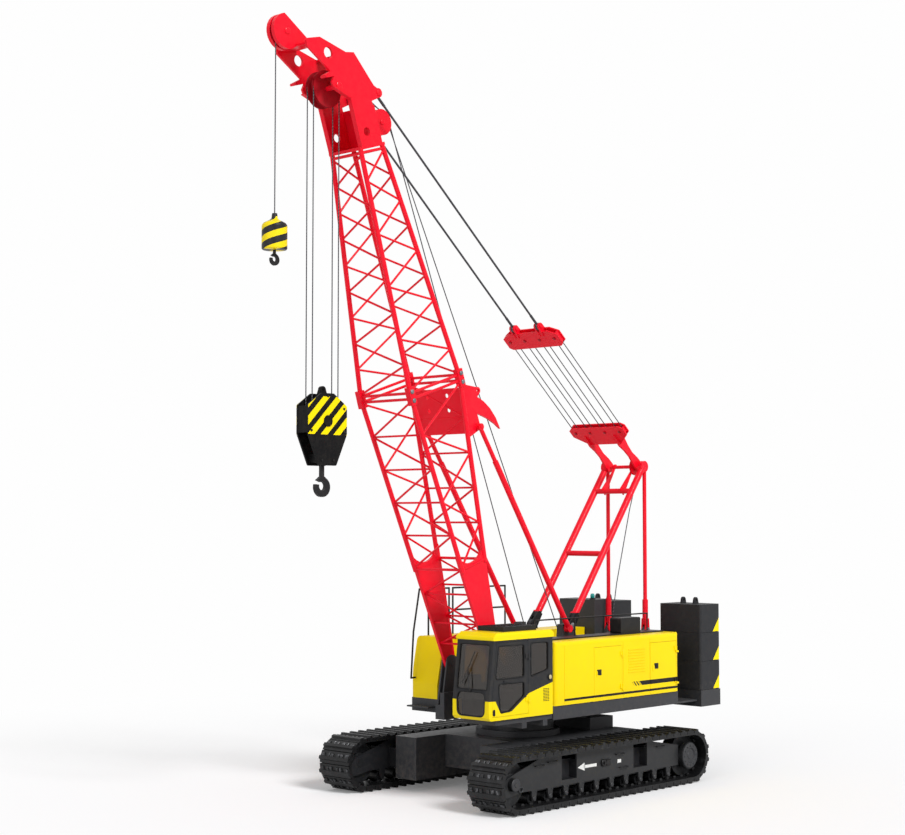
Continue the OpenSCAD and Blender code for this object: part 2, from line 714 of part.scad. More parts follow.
module side_door(start) {
    color(yellow) {
        translate([start - side_door_len + play, housing_outer - panel_t, side_door_z0 + play])
            cube([side_door_len - 2 * play, panel_t, side_door_z1 - side_door_z0 - 2 * play]);
        for (z = side_hinges)
            translate([start - side_door_len + play, side_hinge_y, z]) {
                cylinder(r = 16, h = 100);
                translate([0, -30, 0]) cube([70, 30, 100]);
            }
        translate([start - 150, housing_outer, side_door_z0 + 420]) cube([70, 12, 110]);
    }
}

module left_door_front() { side_door(side_door_starts[0]); }
module left_door_rear() { side_door(side_door_starts[1]); }

module right_housing() {
    color(yellow) mirror([0, 1, 0]) difference() {
        housing_body(right_front, 0);
        across(0, deck_half * 2) polygon([[right_front - 200, housing_top + over],
            [right_front + over, housing_top + over], [right_front + over, housing_z + 300]]);
    }
}

module engine_block() {
    color(steel) translate([-2900, housing_inner + panel_t + 20, housing_z + panel_t]) cube([2000, 520, 900]);
}

// Counterweight

module counterweight_tray() {
    color(dark) translate([-weight_front - weight_len, -weight_half, tray_z]) cube([weight_len, 2 * weight_half, tray_h]);
}

// A pair of slabs, each on a slightly smaller foot that shows as a line between slabs
module slab_pair(i, lugs = false) {
    a = [-weight_front - weight_len, weight_half - stack_w];
    b = [-weight_front, weight_half];
    color(dark) both() {
        translate([0, 0, slab_z + i * slab_h]) {
            linear_extrude(14) polygon(rounded(box2(a + [10, 10], b - [10, 10]), 40));
            translate([0, 0, 14]) linear_extrude(slab_h - 14) polygon(rounded(box2(a, b), 50));
        }
        if (lugs) for (y = [0.35, 0.65])
            translate([-weight_front - weight_len / 2, weight_half - stack_w * y, slab_z + (i + 1) * slab_h])
                across(-25, 25) difference() {
                    polygon(concat([[-90, 0], [90, 0]], arc([0, 80], 70, 0, 180)));
                    translate([0, 80]) circle(r = 32);
                }
    }
}

module counterweight_lower() { slab_pair(0); }
module counterweight_middle() { slab_pair(1); }
module counterweight_upper() { slab_pair(2, true); }

// Gantry

// A fork of two plates that hold an eye lug: shape in XZ, plates outside the lug
module fork(y, t) {
    for (w = [-lug_t / 2 - seat - t, lug_t / 2 + seat]) across(y + w, y + w + t) children();
}

module gantry_legs() {
    lean = gantry_top - gantry_foot;
    dir = lean / norm(lean);
    side = [dir[1], -dir[0]] * gantry_tube / 2;
    tube_end = gantry_foot + dir * 170;
    fork_end = gantry_foot + dir * 330;
    color(red) {
        both() bar([tube_end[0], gantry_half, tube_end[1]], [gantry_top[0], gantry_half, gantry_top[1]], gantry_tube, 32);
        both() fork(gantry_half, 40) difference() {
            polygon(concat([fork_end + side, fork_end - side],
                arc(gantry_foot, 110, gantry_slope + 110, gantry_slope + 250, 10)));
            translate(gantry_foot) circle(r = gantry_pin_r + bore_play);
        }
        both() bar([link_x, gantry_half, link_top], [link_x, gantry_half, gantry_top_z - 60], 90, 32);
        for (t = [0.44, 0.84])
            cross_pin(gantry_foot + lean * t, 60, -gantry_half, gantry_half);
        both() cross_pin(gantry_top, boss_r, gantry_cheek, gantry_half + 60);
    }
}

module gantry_links() {
    color(red) both() {
        bar([link_x, gantry_half, link_z + 130], [link_x, gantry_half, link_top], 90, 32);
        bar([link_x, gantry_half, link_z + 130], [link_x, gantry_half, link_z + 690], 130, 32);
        fork(gantry_half, 30) difference() {
            polygon(concat(arc([link_x, link_z], 80, 180, 360, 10), [[link_x + 60, link_z + 260], [link_x - 60, link_z + 260]]));
            translate([link_x, link_z]) circle(r = link_pin_r + bore_play);
        }
    }
}

// The head's shaft and rope sheave between the legs, on two plates from the upper cross tube
module gantry_head() {
    bar_at = gantry_foot + (gantry_top - gantry_foot) * 0.84;
    color(red) {
        both() across(250, 280) difference() {
            polygon(concat(arc(gantry_top, 70, -40, 130), [bar_at + [-40, -90], bar_at + [90, 40]]));
            translate(bar_at) circle(r = 60);
        }
        cross_pin(gantry_top, 40, -360, 360);
        sheave(gantry_top, 170, 315);
    }
}

// Winches

drum_r = 260;
drum_half = 330;
drum_places = [[-300, 2350], [-1500, 2350], [-2700, 2350]];

module winch_frame() {
    color(dark) both() for (at = drum_places)
        across(drum_half + seat, drum_half + 30) difference() {
            polygon(concat([[at[0] - 330, deck_z + floor_t], [at[0] + 330, deck_z + floor_t]], arc(at, 200, 0, 180)));
            translate(at) circle(r = 60 + bore_play);
        }
}

module drum(i) {
    color(steel) {
        cross_pin(drum_places[i], drum_r, -drum_half + 40, drum_half - 40);
        for (y = [-drum_half, drum_half - 40]) cross_pin(drum_places[i], drum_r + 120, y, y + 40);
        cross_pin(drum_places[i], 60, -drum_half - 50, drum_half + 50);
    }
}

module main_drum() { drum(0); }
module auxiliary_drum() { drum(1); }
module luffing_drum() { drum(2); }

module rear_tank() {
    color(dark) translate([-housing_rear - 610, -deck_half - 10, skirt_z0 + floor_t])
        cube([600, deck_half - girder_y - 120, 3810 - skirt_z0 - floor_t]);
}

module rail(points, d = 40) {
    for (i = [0:len(points) - 2]) bar(points[i], points[i + 1], d);
    for (i = [1:1:len(points) - 2]) translate(points[i]) sphere(d = d * 1.05, $fn = 16);
}

// Guard rails and a walkway on the housings, and the ladder rail at the right front corner
module handrails() {
    color(black) {
        y = -housing_outer + 130;
        for (x = [[-1400, 330], [450, 1100]]) {
            rail([[x[0], y, housing_top], [x[0], y, housing_top + 1000], [x[1], y, housing_top + 1000], [x[1], y, housing_top]]);
            rail([[x[0], y, housing_top + 520], [x[1], y, housing_top + 520]]);
        }
        rail([[right_front, y, housing_z + 420], [right_front + 130, y, housing_z + 420],
            [right_front + 60, y, housing_top + 100], [right_front - 120, y, housing_top + 1000], [1100, y, housing_top + 1000]]);
        translate([-housing_rear + 100, housing_inner + 20, housing_top]) cube([housing_rear + left_front - 300, 420, 30]);
        across(housing_inner + 110, housing_inner + 410) polygon(rounded(
            box2([-2550, housing_top + 20], [-1850, housing_top + 360]), 40));
        low = housing_inner + 60;
        ends = [left_front - 230, -housing_rear + 200];
        rail([[ends[0], low, housing_top + 30], [ends[0], low, housing_top + 400],
            [ends[1], low, housing_top + 400], [ends[1], low, housing_top + 30]], 32);
        for (x = [-700, -2000]) bar([x, low, housing_top + 30], [x, low, housing_top + 400], 32);
    }
}

// Boom

// Zigzag tubes between two chords from s0 to s1
module lacing(a, b, s0, s1, bays) {
    for (i = [0:bays - 1]) {
        p = s0 + (s1 - s0) * i / bays;
        q = s0 + (s1 - s0) * (i + 1) / bays;
        from = i % 2 == 0 ? a : b;
        to = i % 2 == 0 ? b : a;
        bar(chord(from[0], from[1], p), chord(to[0], to[1], q), lace_d);
    }
}

// The four chords with their lacing and end frames
module lattice(s0, s1, bays) {
    corners = [[1, 1], [1, -1], [-1, -1], [-1, 1]];
    for (i = [0:3]) {
        a = corners[i];
        b = corners[(i + 1) % 4];
        run = (chord(a[0], a[1], s1) - chord(a[0], a[1], s0)) / (s1 - s0) * 30;
        intersection() {
            bar(chord(a[0], a[1], s0) - run, chord(a[0], a[1], s1) + run, chord_d, 12);
            translate([-2000, -2000, s0]) cube([4000, 4000, s1 - s0]);
        }
        lacing(a, b, s0 + 90, s1 - 90, bays);
        for (s = [s0 + 60, s1 - 60]) bar(chord(a[0], a[1], s), chord(b[0], b[1], s), lace_d * 1.3);
    }
}

foot_plate_s = 2450;

module boom_butt() {
    color(red) boom_frame() {
        lattice(foot_plate_s - 300, joint_s, 5);
        both() across(foot_half - foot_t / 2, foot_half + foot_t / 2) difference() {
            polygon(concat(arc([0, 0], 150, 180, 360),
                [[half_d(foot_plate_s) + 30, foot_plate_s]],
                arc([0, foot_plate_s + 250], half_d(foot_plate_s) + 60, -25, -155, 12),
                [[-half_d(foot_plate_s) - 30, foot_plate_s]]));
            circle(r = foot_pin_r + bore_play);
        }
        // bracket on each rear chord with the backstop's pin, a lifting eye and the curved horn
        both() across(backstop_half - 115, backstop_half - 60) difference() {
            polygon(concat([[-half_d(joint_s - 1250) + 20, joint_s - 1250]],
                [[-half_d(joint_s - 100) + 20, joint_s - 100], [-869, 5765]], arc([-1185, 5558], 75, 80, 220),
                [[-1130, 5440], [-1290, 5300], [-1430, 5116], [-1540, 4890], [-1604, 4626], [-1480, 4770], [-1300, 4930],
                [-1020, 5120]], [[backstop_n - 80, backstop_s + 80]], arc([backstop_n, backstop_s], 80, 170, 280)));
            translate([-1185, 5558]) circle(r = 36);
        }
        both() cross_pin([backstop_n, backstop_s], stop_pin_r, backstop_half - 115, backstop_half + 60);
        // stiffening panel between the rear chords
        slope = atan((half_d(joint_s - 200) - half_d(joint_s - 1150)) / 950);
        translate([-half_d(joint_s - 1150), 0, joint_s - 1150]) rotate([0, -slope, 0]) rotate([90, 0, 90])
            translate([0, 0, -10]) linear_extrude(20) difference() {
                polygon(box2([-half_w(joint_s - 1150), 0], [half_w(joint_s - 1150), 950]));
                for (y = [-1, 1], z = [500, 800]) translate([y * 280, z]) circle(r = 45);
            }
        // pinned lugs at the joint
        joint_lugs(joint_s - 180, joint_s);
    }
}

// Stiffened chord ends where the two sections are pinned together
module joint_lugs(s0, s1) {
    for (y = [-1, 1], x = [-1, 1]) {
        m = (chord(y, x, s0) + chord(y, x, s1)) / 2;
        translate([m[0] - 75, m[1] - 62, s0]) cube([150, 124, s1 - s0]);
    }
}

module boom_tip() {
    color(red) boom_frame() {
        lattice(joint_s + seat, lattice_s, 9);
        joint_lugs(joint_s + seat, joint_s + 180);
    }
}

module boom_head() {
    outer = top_w / 2 + 45;
    inner = outer - 50;
    base = lattice_s + seat;
    guide = [guide_n, guide_s];
    nose = [aux_n, aux_s];
    nose_half = 110;
    color(red) boom_frame() {
        both() across(inner, outer) difference() {
            polygon(concat([[-290, base], [300, base], [315, 11836], [690, 12110], [700, 12200], [600, 12310], [1129, 12936],
                [1129, 13050], [1080, 13085], [759, 13070], [162, 12709], [-50, 12680], [-395, 11990]],
                arc([pendant_n, pendant_s], 95, 80, 280), [[-250, 11700]]));
            translate(jib_hole) circle(r = jib_hole_r);
            translate([72, 11142]) circle(r = 85);
        }
        // end frame on the lattice, rear web, top webs and shafts
        translate([-350, -outer, base]) cube([700, 2 * outer, 60]);
        translate([-290, -outer, base]) cube([40, 2 * outer, 800]);
        across(-inner, inner) {
            polygon([[-60, 12640], [170, 12669], [170, 12709], [-60, 12680]]);
            polygon([[640, 12935], [1110, 12985], [1110, 13025], [640, 12975]]);
        }
        cross_pin([-150, 12400], 60, -inner, inner);
        cross_pin([main_n, main_s], shaft_r, -inner, inner);
        both() cross_pin([pendant_n, pendant_s], eye_pin_r, inner - 70, outer);
        // rope limiter on short arms at the front
        both() across(inner, outer) polygon([[560, 12300], [600, 12420], [890, 12355], [880, 12295]]);
        both() cross_pin([865, 12325], 28, inner - 40, outer + 70);
        // nose with the auxiliary sheave: side plates, a front rim and a rear web split for the rope
        both() across(nose_half - 35, nose_half)
            polygon(concat([[790, 12990]], arc(nose, 340, -110, 95, 14), [[765, 13110]]));
        both() across(25, nose_half) {
            polygon(concat(arc(nose, 340, -100, 95, 14), arc(nose, 318, 95, -100, 14)));
        }
        both() across(36, nose_half)
            polygon([[765, 13110], [785, 13090], nose + [-14, 322], nose + 340 * [cos(95), sin(95)]]);
        cross_pin(nose, shaft_r, -nose_half, nose_half);
        // rear rope guide: two round guards on arms from the rear web
        both() across(45, 65) difference() {
            union() {
                translate(guide) circle(r = 262);
                polygon([[-270, guide_s - 160], [-270, guide_s + 200], guide + [60, 240], guide + [60, -240]]);
            }
            translate(guide) circle(r = guide_shaft_r - 1);
        }
        cross_pin(guide, guide_shaft_r, -65, 65);
    }
}

module head_sheaves() {
    color(dark) boom_frame() {
        for (y = [-fall_y, fall_y]) sheave([main_n, main_s], main_sheave_r, y, shaft_r + bore_play);
        sheave([aux_n, aux_s], aux_sheave_r, 0, shaft_r + bore_play);
        sheave([guide_n, guide_s], guide_sheave_r, 0, guide_shaft_r + bore_play);
    }
}

// Suspension

module pendants() {
    eye_y = pendant_half - 80;
    color(black) stay_frame() both() difference() {
        union() {
            bar([pendant_eye_t + 200, eye_y + 30, 0], [stay_len - 200, eye_y + 30, 0], pendant_d, 16);
            for (t = [[pendant_eye_t, 1], [stay_len, -1]]) {
                across(eye_y, eye_y + 60) translate([t[0], 0]) circle(r = 80);
                // tapered socket
                bar([t[0] + t[1] * 60, eye_y + 30, 0], [t[0] + t[1] * 330, eye_y + 30, 0], 56, 16);
            }
        }
        for (t = [pendant_eye_t, stay_len]) cross_pin([t, 0], eye_pin_r + bore_play, 0, pendant_half * 2);
    }
}

// Two long plates across the machine with four flat sheaves between them: outline in the stay's plane, sheave place
module bridle_box(outline, t) {
    for (z = [-bridle_gap / 2 - bridle_plate, bridle_gap / 2]) translate([0, 0, z]) linear_extrude(bridle_plate)
        polygon(concat(outline, [for (i = [len(outline) - 1:-1:0]) [outline[i][0], -outline[i][1]]]));
    for (y = bridle_places) translate([t, y, 0]) {
        rotate_extrude() polygon([[0, -40], [95, -40], [95, -30], [72, -9], [72, 9], [95, 30], [95, 40], [0, 40]]);
        cylinder(r = 30, h = bridle_gap + 2 * bridle_plate + 16, center = true);
    }
}

module floating_bridle() {
    t = upper_bridle_t;
    lug_y = pendant_half - 80;
    color(red) stay_frame() {
        bridle_box([[t - 230, 690], [t - 170, bridle_half], [t + 110, bridle_half], [t + 230, 560]], t);
        // end plates and the forks that hold the pendants
        both() translate([t - 150, bridle_half - 60, -bridle_gap / 2]) cube([280, 30, bridle_gap]);
        both() for (y = [lug_y - seat - 40, lug_y + 60 + seat]) across(y, y + 40) difference() {
            polygon(concat(arc([pendant_eye_t, 0], 78, -90, 90, 8), [[t + 110, 90], [t + 110, -90]]));
            translate([pendant_eye_t, 0]) circle(r = eye_pin_r - 1);
        }
        both() cross_pin([pendant_eye_t, 0], eye_pin_r, lug_y - 60, lug_y + 120);
    }
}

module lower_bridle() {
    t = lower_bridle_t;
    color(red) stay_frame() {
        bridle_box([[t - 330, 450], [t - 60, bridle_half], [t + 150, bridle_half], [t + 220, 680]], t + 60);
        both() translate([t - 20, bridle_half - 60, -bridle_gap / 2]) cube([160, 30, bridle_gap]);
        // arms to the gantry's top
        both() across(gantry_cheek - seat - 50, gantry_cheek - seat) polygon(concat(
            arc([0, 0], 115, 90, 270, 10), [[180, -110], [420, -70], [t - 560, -85], [t - 330, -130], [t - 40, -90],
            [t - 40, 90], [t - 330, 130], [t - 560, 85], [420, 70], [180, 110]]));
    }
}

// Hooks

block_axis_z = block_top - 677;
block_z0 = block_top - 1530;
block_half = 170;

module main_falls() {
    color(black) for (x = [-1, 1], y = [-1, 1])
        translate([main_axis[0] + x * main_sheave_r, y * fall_y, block_axis_z])
            cylinder(d = rope_d, h = main_axis[1] - block_axis_z);
}

module main_block() {
    inner = block_half - 40;
    color(black) translate([main_axis[0], 0, 0]) {
        both() across(inner, block_half) polygon(rounded([
            [-225, block_z0], [225, block_z0], [500, block_z0 + 600], [500, block_z0 + 1150], [160, block_z0 + 1385],
            [-160, block_z0 + 1385], [-500, block_z0 + 1150], [-500, block_z0 + 600]], 35));
        cross_pin([0, block_axis_z], 45, -inner, inner);
        both() cross_pin([0, block_axis_z], 110, block_half, block_half + 20);
        for (y = [-fall_y, fall_y]) sheave([0, block_axis_z], main_sheave_r, y);
        // closed ends, hook cross head and top eye
        for (x = [-495, 465]) translate([x, -inner, block_z0 + 620]) cube([30, 2 * inner, 510]);
        translate([-200, -inner, block_z0 + 60]) cube([400, 2 * inner, 160]);
        translate([-110, -inner, block_z0 + 1300]) cube([220, 2 * inner, 70]);
        across(-35, 35) difference() {
            polygon(concat([[-110, block_z0 + 1360], [110, block_z0 + 1360]], arc([0, block_top - 75], 75, 0, 180)));
            translate([0, block_top - 75]) circle(r = 30);
        }
    }
}

// A forged hook: shank, round bowl with its eye-shaped throat, and an open mouth on the front
module hook(at, drop, r, shank) {
    bowl = [0, -drop + r];
    throat = bowl + [0.06, 0.1] * r;
    translate(at) {
        translate([0, 0, -drop + 1.75 * r]) cylinder(r = shank, h = drop - 1.75 * r);
        across(-0.2 * r, 0.2 * r) difference() {
            polygon(concat(arc(bowl, r, 118, 422, 24), [[shank, -drop + 2.05 * r], [-shank, -drop + 2.05 * r]]));
            translate(throat) circle(r = 0.44 * r);
            polygon([throat + [0, 0.1] * r, throat + [1.5, 0.25] * r, throat + [1.5, 0.85] * r, throat + [0.2, 0.42] * r]);
        }
    }
}

module main_hook() {
    color(black) hook([main_axis[0], 0, block_z0 + 60 - seat], 660, 190, 52);
}

module auxiliary_fall() {
    color(black) translate([aux_axis[0] + aux_sheave_r, 0, ball_top]) cylinder(d = rope_d, h = aux_axis[1] - ball_top);
}

ball_h = 687;
ball_r = 242;

module auxiliary_ball() {
    color(yellow) translate([aux_axis[0] + aux_sheave_r, 0, ball_top - ball_h]) rotate_extrude() polygon(concat(
        [[0, 0], [ball_r - 15, 0], [ball_r, 20], [ball_r, 400]], arc([ball_r - 90, 430], 90, 0, 60, 5),
        [[95, 560], [62, 590], [48, ball_h], [0, ball_h]]));
}

module auxiliary_hook() {
    color(black) hook([aux_axis[0] + aux_sheave_r, 0, ball_top - ball_h - seat], 300, 110, 30);
}

// Backstops

backstop_len = norm(backstop_pin - backstop_foot);
backstop_angle = atan2(backstop_pin[1] - backstop_foot[1], backstop_pin[0] - backstop_foot[0]);

module backstop_frame() {
    translate([backstop_foot[0], 0, backstop_foot[1]]) rotate([0, -backstop_angle, 0]) children();
}

module backstop_rods() {
    color(red) backstop_frame() both() {
        bar([backstop_len - 2500, backstop_half, 0], [backstop_len - 60, backstop_half, 0], 90, 32);
        difference() {
            cross_pin([backstop_len, 0], 70, backstop_half - 60 + seat, backstop_half + 50);
            cross_pin([backstop_len, 0], stop_pin_r + bore_play, backstop_half - 80, backstop_half + 60);
        }
    }
}

module backstop_tubes() {
    color(red) backstop_frame() both() difference() {
        union() {
            bar([60, backstop_half, 0], [4250, backstop_half, 0], 120, 32);
            cross_pin([0, 0], 80, backstop_half - 75 + seat, backstop_half + 50);
        }
        bar([400, backstop_half, 0], [4300, backstop_half, 0], 92, 32);
    }
}

carbody();
side_frame_left();
side_frame_right();
track_left();
track_right();
sprockets();
idlers();
rollers();
slew_ring();
revolving_frame();
cab_shell();
cab_glass();
cab_seat();
cab_roof_hatch();
left_housing();
right_housing();
engine_block();
counterweight_tray();
counterweight_lower();
counterweight_middle();
counterweight_upper();
gantry_legs();
gantry_links();
gantry_head();
winch_frame();
rear_tank();
handrails();
cab_door();
cab_door_glass();
left_door_front();
left_door_rear();
main_drum();
auxiliary_drum();
luffing_drum();
boom_butt();
boom_tip();
boom_head();
head_sheaves();
pendants();
floating_bridle();
lower_bridle();
main_falls();
main_block();
main_hook();
auxiliary_fall();
auxiliary_ball();
auxiliary_hook();
backstop_rods();
backstop_tubes();
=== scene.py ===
import math

import bmesh
import bpy
import numpy as np
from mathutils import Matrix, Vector


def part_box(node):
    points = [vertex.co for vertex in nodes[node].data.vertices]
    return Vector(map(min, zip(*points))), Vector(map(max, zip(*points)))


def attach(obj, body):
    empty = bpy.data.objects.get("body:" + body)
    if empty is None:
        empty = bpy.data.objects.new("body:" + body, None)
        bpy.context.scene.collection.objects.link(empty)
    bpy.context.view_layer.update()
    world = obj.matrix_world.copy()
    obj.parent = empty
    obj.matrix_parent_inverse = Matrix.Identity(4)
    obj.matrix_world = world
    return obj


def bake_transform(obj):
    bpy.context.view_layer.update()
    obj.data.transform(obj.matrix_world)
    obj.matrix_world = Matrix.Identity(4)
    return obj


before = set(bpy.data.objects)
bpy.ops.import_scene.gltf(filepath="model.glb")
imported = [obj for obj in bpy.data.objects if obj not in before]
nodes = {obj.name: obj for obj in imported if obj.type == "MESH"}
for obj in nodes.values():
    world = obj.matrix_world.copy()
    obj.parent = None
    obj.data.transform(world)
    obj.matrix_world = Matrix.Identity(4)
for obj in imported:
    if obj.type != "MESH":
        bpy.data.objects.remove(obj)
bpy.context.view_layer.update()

# Camera and picture
# The photo is taken from the crane's left front, from about cab height, with a long lens that looks
# slightly up.
scene = bpy.context.scene
scene.view_settings.view_transform = "Standard"
camera = bpy.data.objects.new("camera", bpy.data.cameras.new("camera"))
scene.collection.objects.link(camera)
camera.location = (27.774, 24.236, 5.682)
view_yaw = math.radians(223.281)
view_pitch = math.radians(3.402)
level = math.cos(view_pitch)
sight = Vector((math.cos(view_yaw) * level, math.sin(view_yaw) * level, math.sin(view_pitch)))
camera.rotation_euler = sight.to_track_quat("-Z", "Y").to_euler()
camera.data.sensor_fit = "HORIZONTAL"
# focal length and picture width in pixels, from the camera fitted to the photo
focal_px, picture_px, sensor_mm = 1706.1, 905, 36.0
camera.data.sensor_width = sensor_mm
camera.data.lens = sensor_mm * focal_px / picture_px
camera.data.clip_end = 400
scene.camera = camera


# Floor, backdrop and light
# A seamless pale studio floor that runs into a white backdrop, lit by a strong soft sun on the crane's left
# and a weak one in front.
def linear(code, alpha=1.0):
    """sRGB hex colour to linear RGBA."""
    v = [int(code[i:i + 2], 16) / 255 for i in (1, 3, 5)]
    return tuple(c / 12.92 if c <= 0.04045 else ((c + 0.055) / 1.055) ** 2.4 for c in v) + (alpha,)


def new_material(name):
    """An empty node material, with its tree and its output's surface socket."""
    m = bpy.data.materials.new(name)
    m.use_nodes = True
    m.node_tree.nodes.clear()
    out = m.node_tree.nodes.new("ShaderNodeOutputMaterial")
    return m, m.node_tree, out.inputs["Surface"]


def add(tree, kind, links=None, **settings):
    """Adds a node. Settings name its properties or sockets; links give sockets fed by another socket."""
    n = tree.nodes.new("ShaderNode" + kind)
    for key, value in settings.items():
        if hasattr(n, key):
            setattr(n, key, value)
        else:
            n.inputs[int(key[1:]) if key[1:].isdigit() else key.replace("_", " ")].default_value = value
    for key, source in (links or {}).items():
        tree.links.new(source, n.inputs[key])
    return n


world = bpy.data.worlds.new("studio")
scene.world = world
world.use_nodes = True
sky = world.node_tree
sky.nodes.clear()
ray = add(sky, "LightPath")
seen = add(sky, "Math", {0: ray.outputs["Is Camera Ray"], 1: ray.outputs["Is Transmission Ray"]},
           operation="MAXIMUM")
seen = add(sky, "Math", {0: seen.outputs[0], 1: ray.outputs["Is Glossy Ray"]}, operation="MAXIMUM")
strength = add(sky, "MapRange", {0: seen.outputs[0]}, _3=0.42, _4=1.0)
back = add(sky, "Background", {"Strength": strength.outputs[0]}, Color=linear("#fefefe"))
out = sky.nodes.new("ShaderNodeOutputWorld")
sky.links.new(back.outputs[0], out.inputs["Surface"])

floor_mesh = bpy.data.meshes.new("floor")
floor_half, floor_z = 90, -0.002
corners = [(-floor_half, -floor_half, floor_z), (floor_half, -floor_half, floor_z),
           (floor_half, floor_half, floor_z), (-floor_half, floor_half, floor_z)]
floor_mesh.from_pydata(corners, [], [(0, 1, 2, 3)])
floor = bpy.data.objects.new("floor", floor_mesh)
scene.collection.objects.link(floor)
paper, tree, surface = new_material("floor_paper")
ray = add(tree, "LightPath")
place = add(tree, "TexCoord")
far = add(tree, "VectorMath", {0: place.outputs["Object"]}, operation="LENGTH")
fade = add(tree, "MapRange", {0: far.outputs["Value"]}, _1=6.0, _2=20.0)
glow = add(tree, "Math", {0: ray.outputs["Is Camera Ray"], 1: fade.outputs[0]}, operation="MULTIPLY")
matt = add(tree, "BsdfDiffuse", Color=linear("#f6f6f7"))
lift = add(tree, "Math", {0: ray.outputs["Is Camera Ray"]}, operation="MULTIPLY", _1=0.12)
veil = add(tree, "Emission", {"Strength": lift.outputs[0]}, Color=linear("#ffffff"))
matt = add(tree, "AddShader", {0: matt.outputs[0], 1: veil.outputs[0]})
white = add(tree, "Emission", Color=linear("#fefefe"), Strength=1.0)
mix = add(tree, "MixShader", {0: glow.outputs[0], 1: matt.outputs[0], 2: white.outputs[0]})
tree.links.new(mix.outputs[0], surface)
floor_mesh.materials.append(paper)


def sun(name, place, aim, energy, spread):
    """A sun that shines from place towards aim; spread in degrees is its softness."""
    data = bpy.data.lights.new(name, "SUN")
    data.energy = energy
    data.angle = math.radians(spread)
    o = bpy.data.objects.new(name, data)
    o.location = place
    o.rotation_euler = (Vector(aim) - Vector(place)).to_track_quat("-Z", "Y").to_euler()
    scene.collection.objects.link(o)


sun("key", (4, 30, 26), (0, 0, 3), 2.4, 20)
sun("front", (30, 4, 12), (0, 0, 4), 0.55, 40)


# Paint on the boom, gantry and bridles
# Gloss enamel sprayed on welded steel tube: even colour, a slight orange peel, dust on it and dulled
# patches.
def painted(name, hexes, rough, grain=30.0, dust="#8d8378", dust_top=0.0, coat=0.0, shine=0.25, colour=None):
    """Sprayed enamel. hexes are the colour and its shade; dust lies thicker below the height dust_top.
    colour(tree, place, base) may lay marks over the base colour and gives back a socket."""
    m, tree, surface = new_material(name)
    place = add(tree, "TexCoord").outputs["Object"]
    cloud = add(tree, "TexNoise", {"Vector": place}, Scale=1.3, Detail=4.0, Roughness=0.6)
    bright, shaded = map(linear, hexes)
    base = add(tree, "Mix", {0: cloud.outputs["Fac"]}, data_type="RGBA", _6=bright, _7=shaded).outputs[2]
    if colour:
        base = colour(tree, place, base)
    # dust: fine noise, stronger near the ground
    fine = add(tree, "TexNoise", {"Vector": place}, Scale=9.0, Detail=6.0, Roughness=0.7)
    height = add(tree, "SeparateXYZ", {0: place}).outputs["Z"]
    low = add(tree, "MapRange", {0: height}, _1=dust_top, _2=dust_top - 1.2, _3=0.05, _4=0.34)
    veil = add(tree, "MapRange", {0: fine.outputs["Fac"]}, _1=0.42, _2=0.78)
    amount = add(tree, "Math", {0: low.outputs[0], 1: veil.outputs[0]}, operation="MULTIPLY")
    shade = add(tree, "Mix", {0: amount.outputs[0], 6: base}, data_type="RGBA", _7=linear(dust))
    dull = add(tree, "MapRange", {0: fine.outputs["Fac"]}, _1=0.3, _2=0.8, _3=rough, _4=rough + 0.16)
    # orange peel of about 30 mm, coarser than the real one so that it shows
    peel = add(tree, "TexNoise", {"Vector": place}, Scale=grain, Detail=2.0)
    bump = add(tree, "Bump", {"Height": peel.outputs["Fac"]}, Strength=0.06, Distance=0.01)
    shader = add(tree, "BsdfPrincipled", {"Base Color": shade.outputs[2], "Roughness": dull.outputs[0],
                                          "Normal": bump.outputs[0]}, IOR=1.5)
    shader.inputs["Coat Weight"].default_value = coat
    shader.inputs["Specular IOR Level"].default_value = shine
    tree.links.new(shader.outputs[0], surface)
    return m


def dress(material, *names):
    """Gives CAD nodes a material."""
    for n in names:
        nodes[n].data.materials.clear()
        nodes[n].data.materials.append(material)


def between(tree, value, low, high):
    """1 where low < value < high."""
    a = add(tree, "Math", {0: value}, operation="GREATER_THAN", _1=low)
    b = add(tree, "Math", {0: value}, operation="LESS_THAN", _1=high)
    return add(tree, "Math", {0: a.outputs[0], 1: b.outputs[0]}, operation="MULTIPLY").outputs[0]


def both_of(tree, a, b, operation="MULTIPLY"):
    """Two masks joined."""
    return add(tree, "Math", {0: a, 1: b}, operation=operation).outputs[0]


def lay(tree, mask, base, code):
    """A flat colour laid over the base where the mask is 1."""
    return add(tree, "Mix", {0: mask, 6: base}, data_type="RGBA", _7=linear(code)).outputs[2]


red_hexes = ("#f5082a", "#eb0623")
red = painted("red_enamel", red_hexes, 0.3, coat=0.04, shine=0.18)
dress(red, "boom_butt", "boom_tip", "boom_head", "floating_bridle", "lower_bridle", "backstop_rods",
      "backstop_tubes", "gantry_links", "gantry_head")


def black_feet(tree, place, base):
    """The gantry's forked feet and pins are black up to 0.28 m above the pin."""
    height = add(tree, "SeparateXYZ", {0: place}).outputs["Z"]
    return lay(tree, between(tree, height, -1.0, 3.64), base, "#17171a")


gantry_red = painted("gantry_enamel", red_hexes, 0.3, coat=0.04, shine=0.18, colour=black_feet)
dress(gantry_red, "gantry_legs")

# Grey paint on carbody, side frames and upper frame
# Satin chassis enamel over heavy welded plate; it carries the most dust because it is near the ground.
grey = painted("grey_chassis_enamel", ("#393a3d", "#303134"), 0.42, dust_top=1.3)
dress(grey, "carbody", "winch_frame", "rear_tank", "counterweight_tray")
deck_grey = painted("deck_enamel", ("#3d3e42", "#343538"), 0.45, dust_top=1.9)
dress(deck_grey, "revolving_frame")


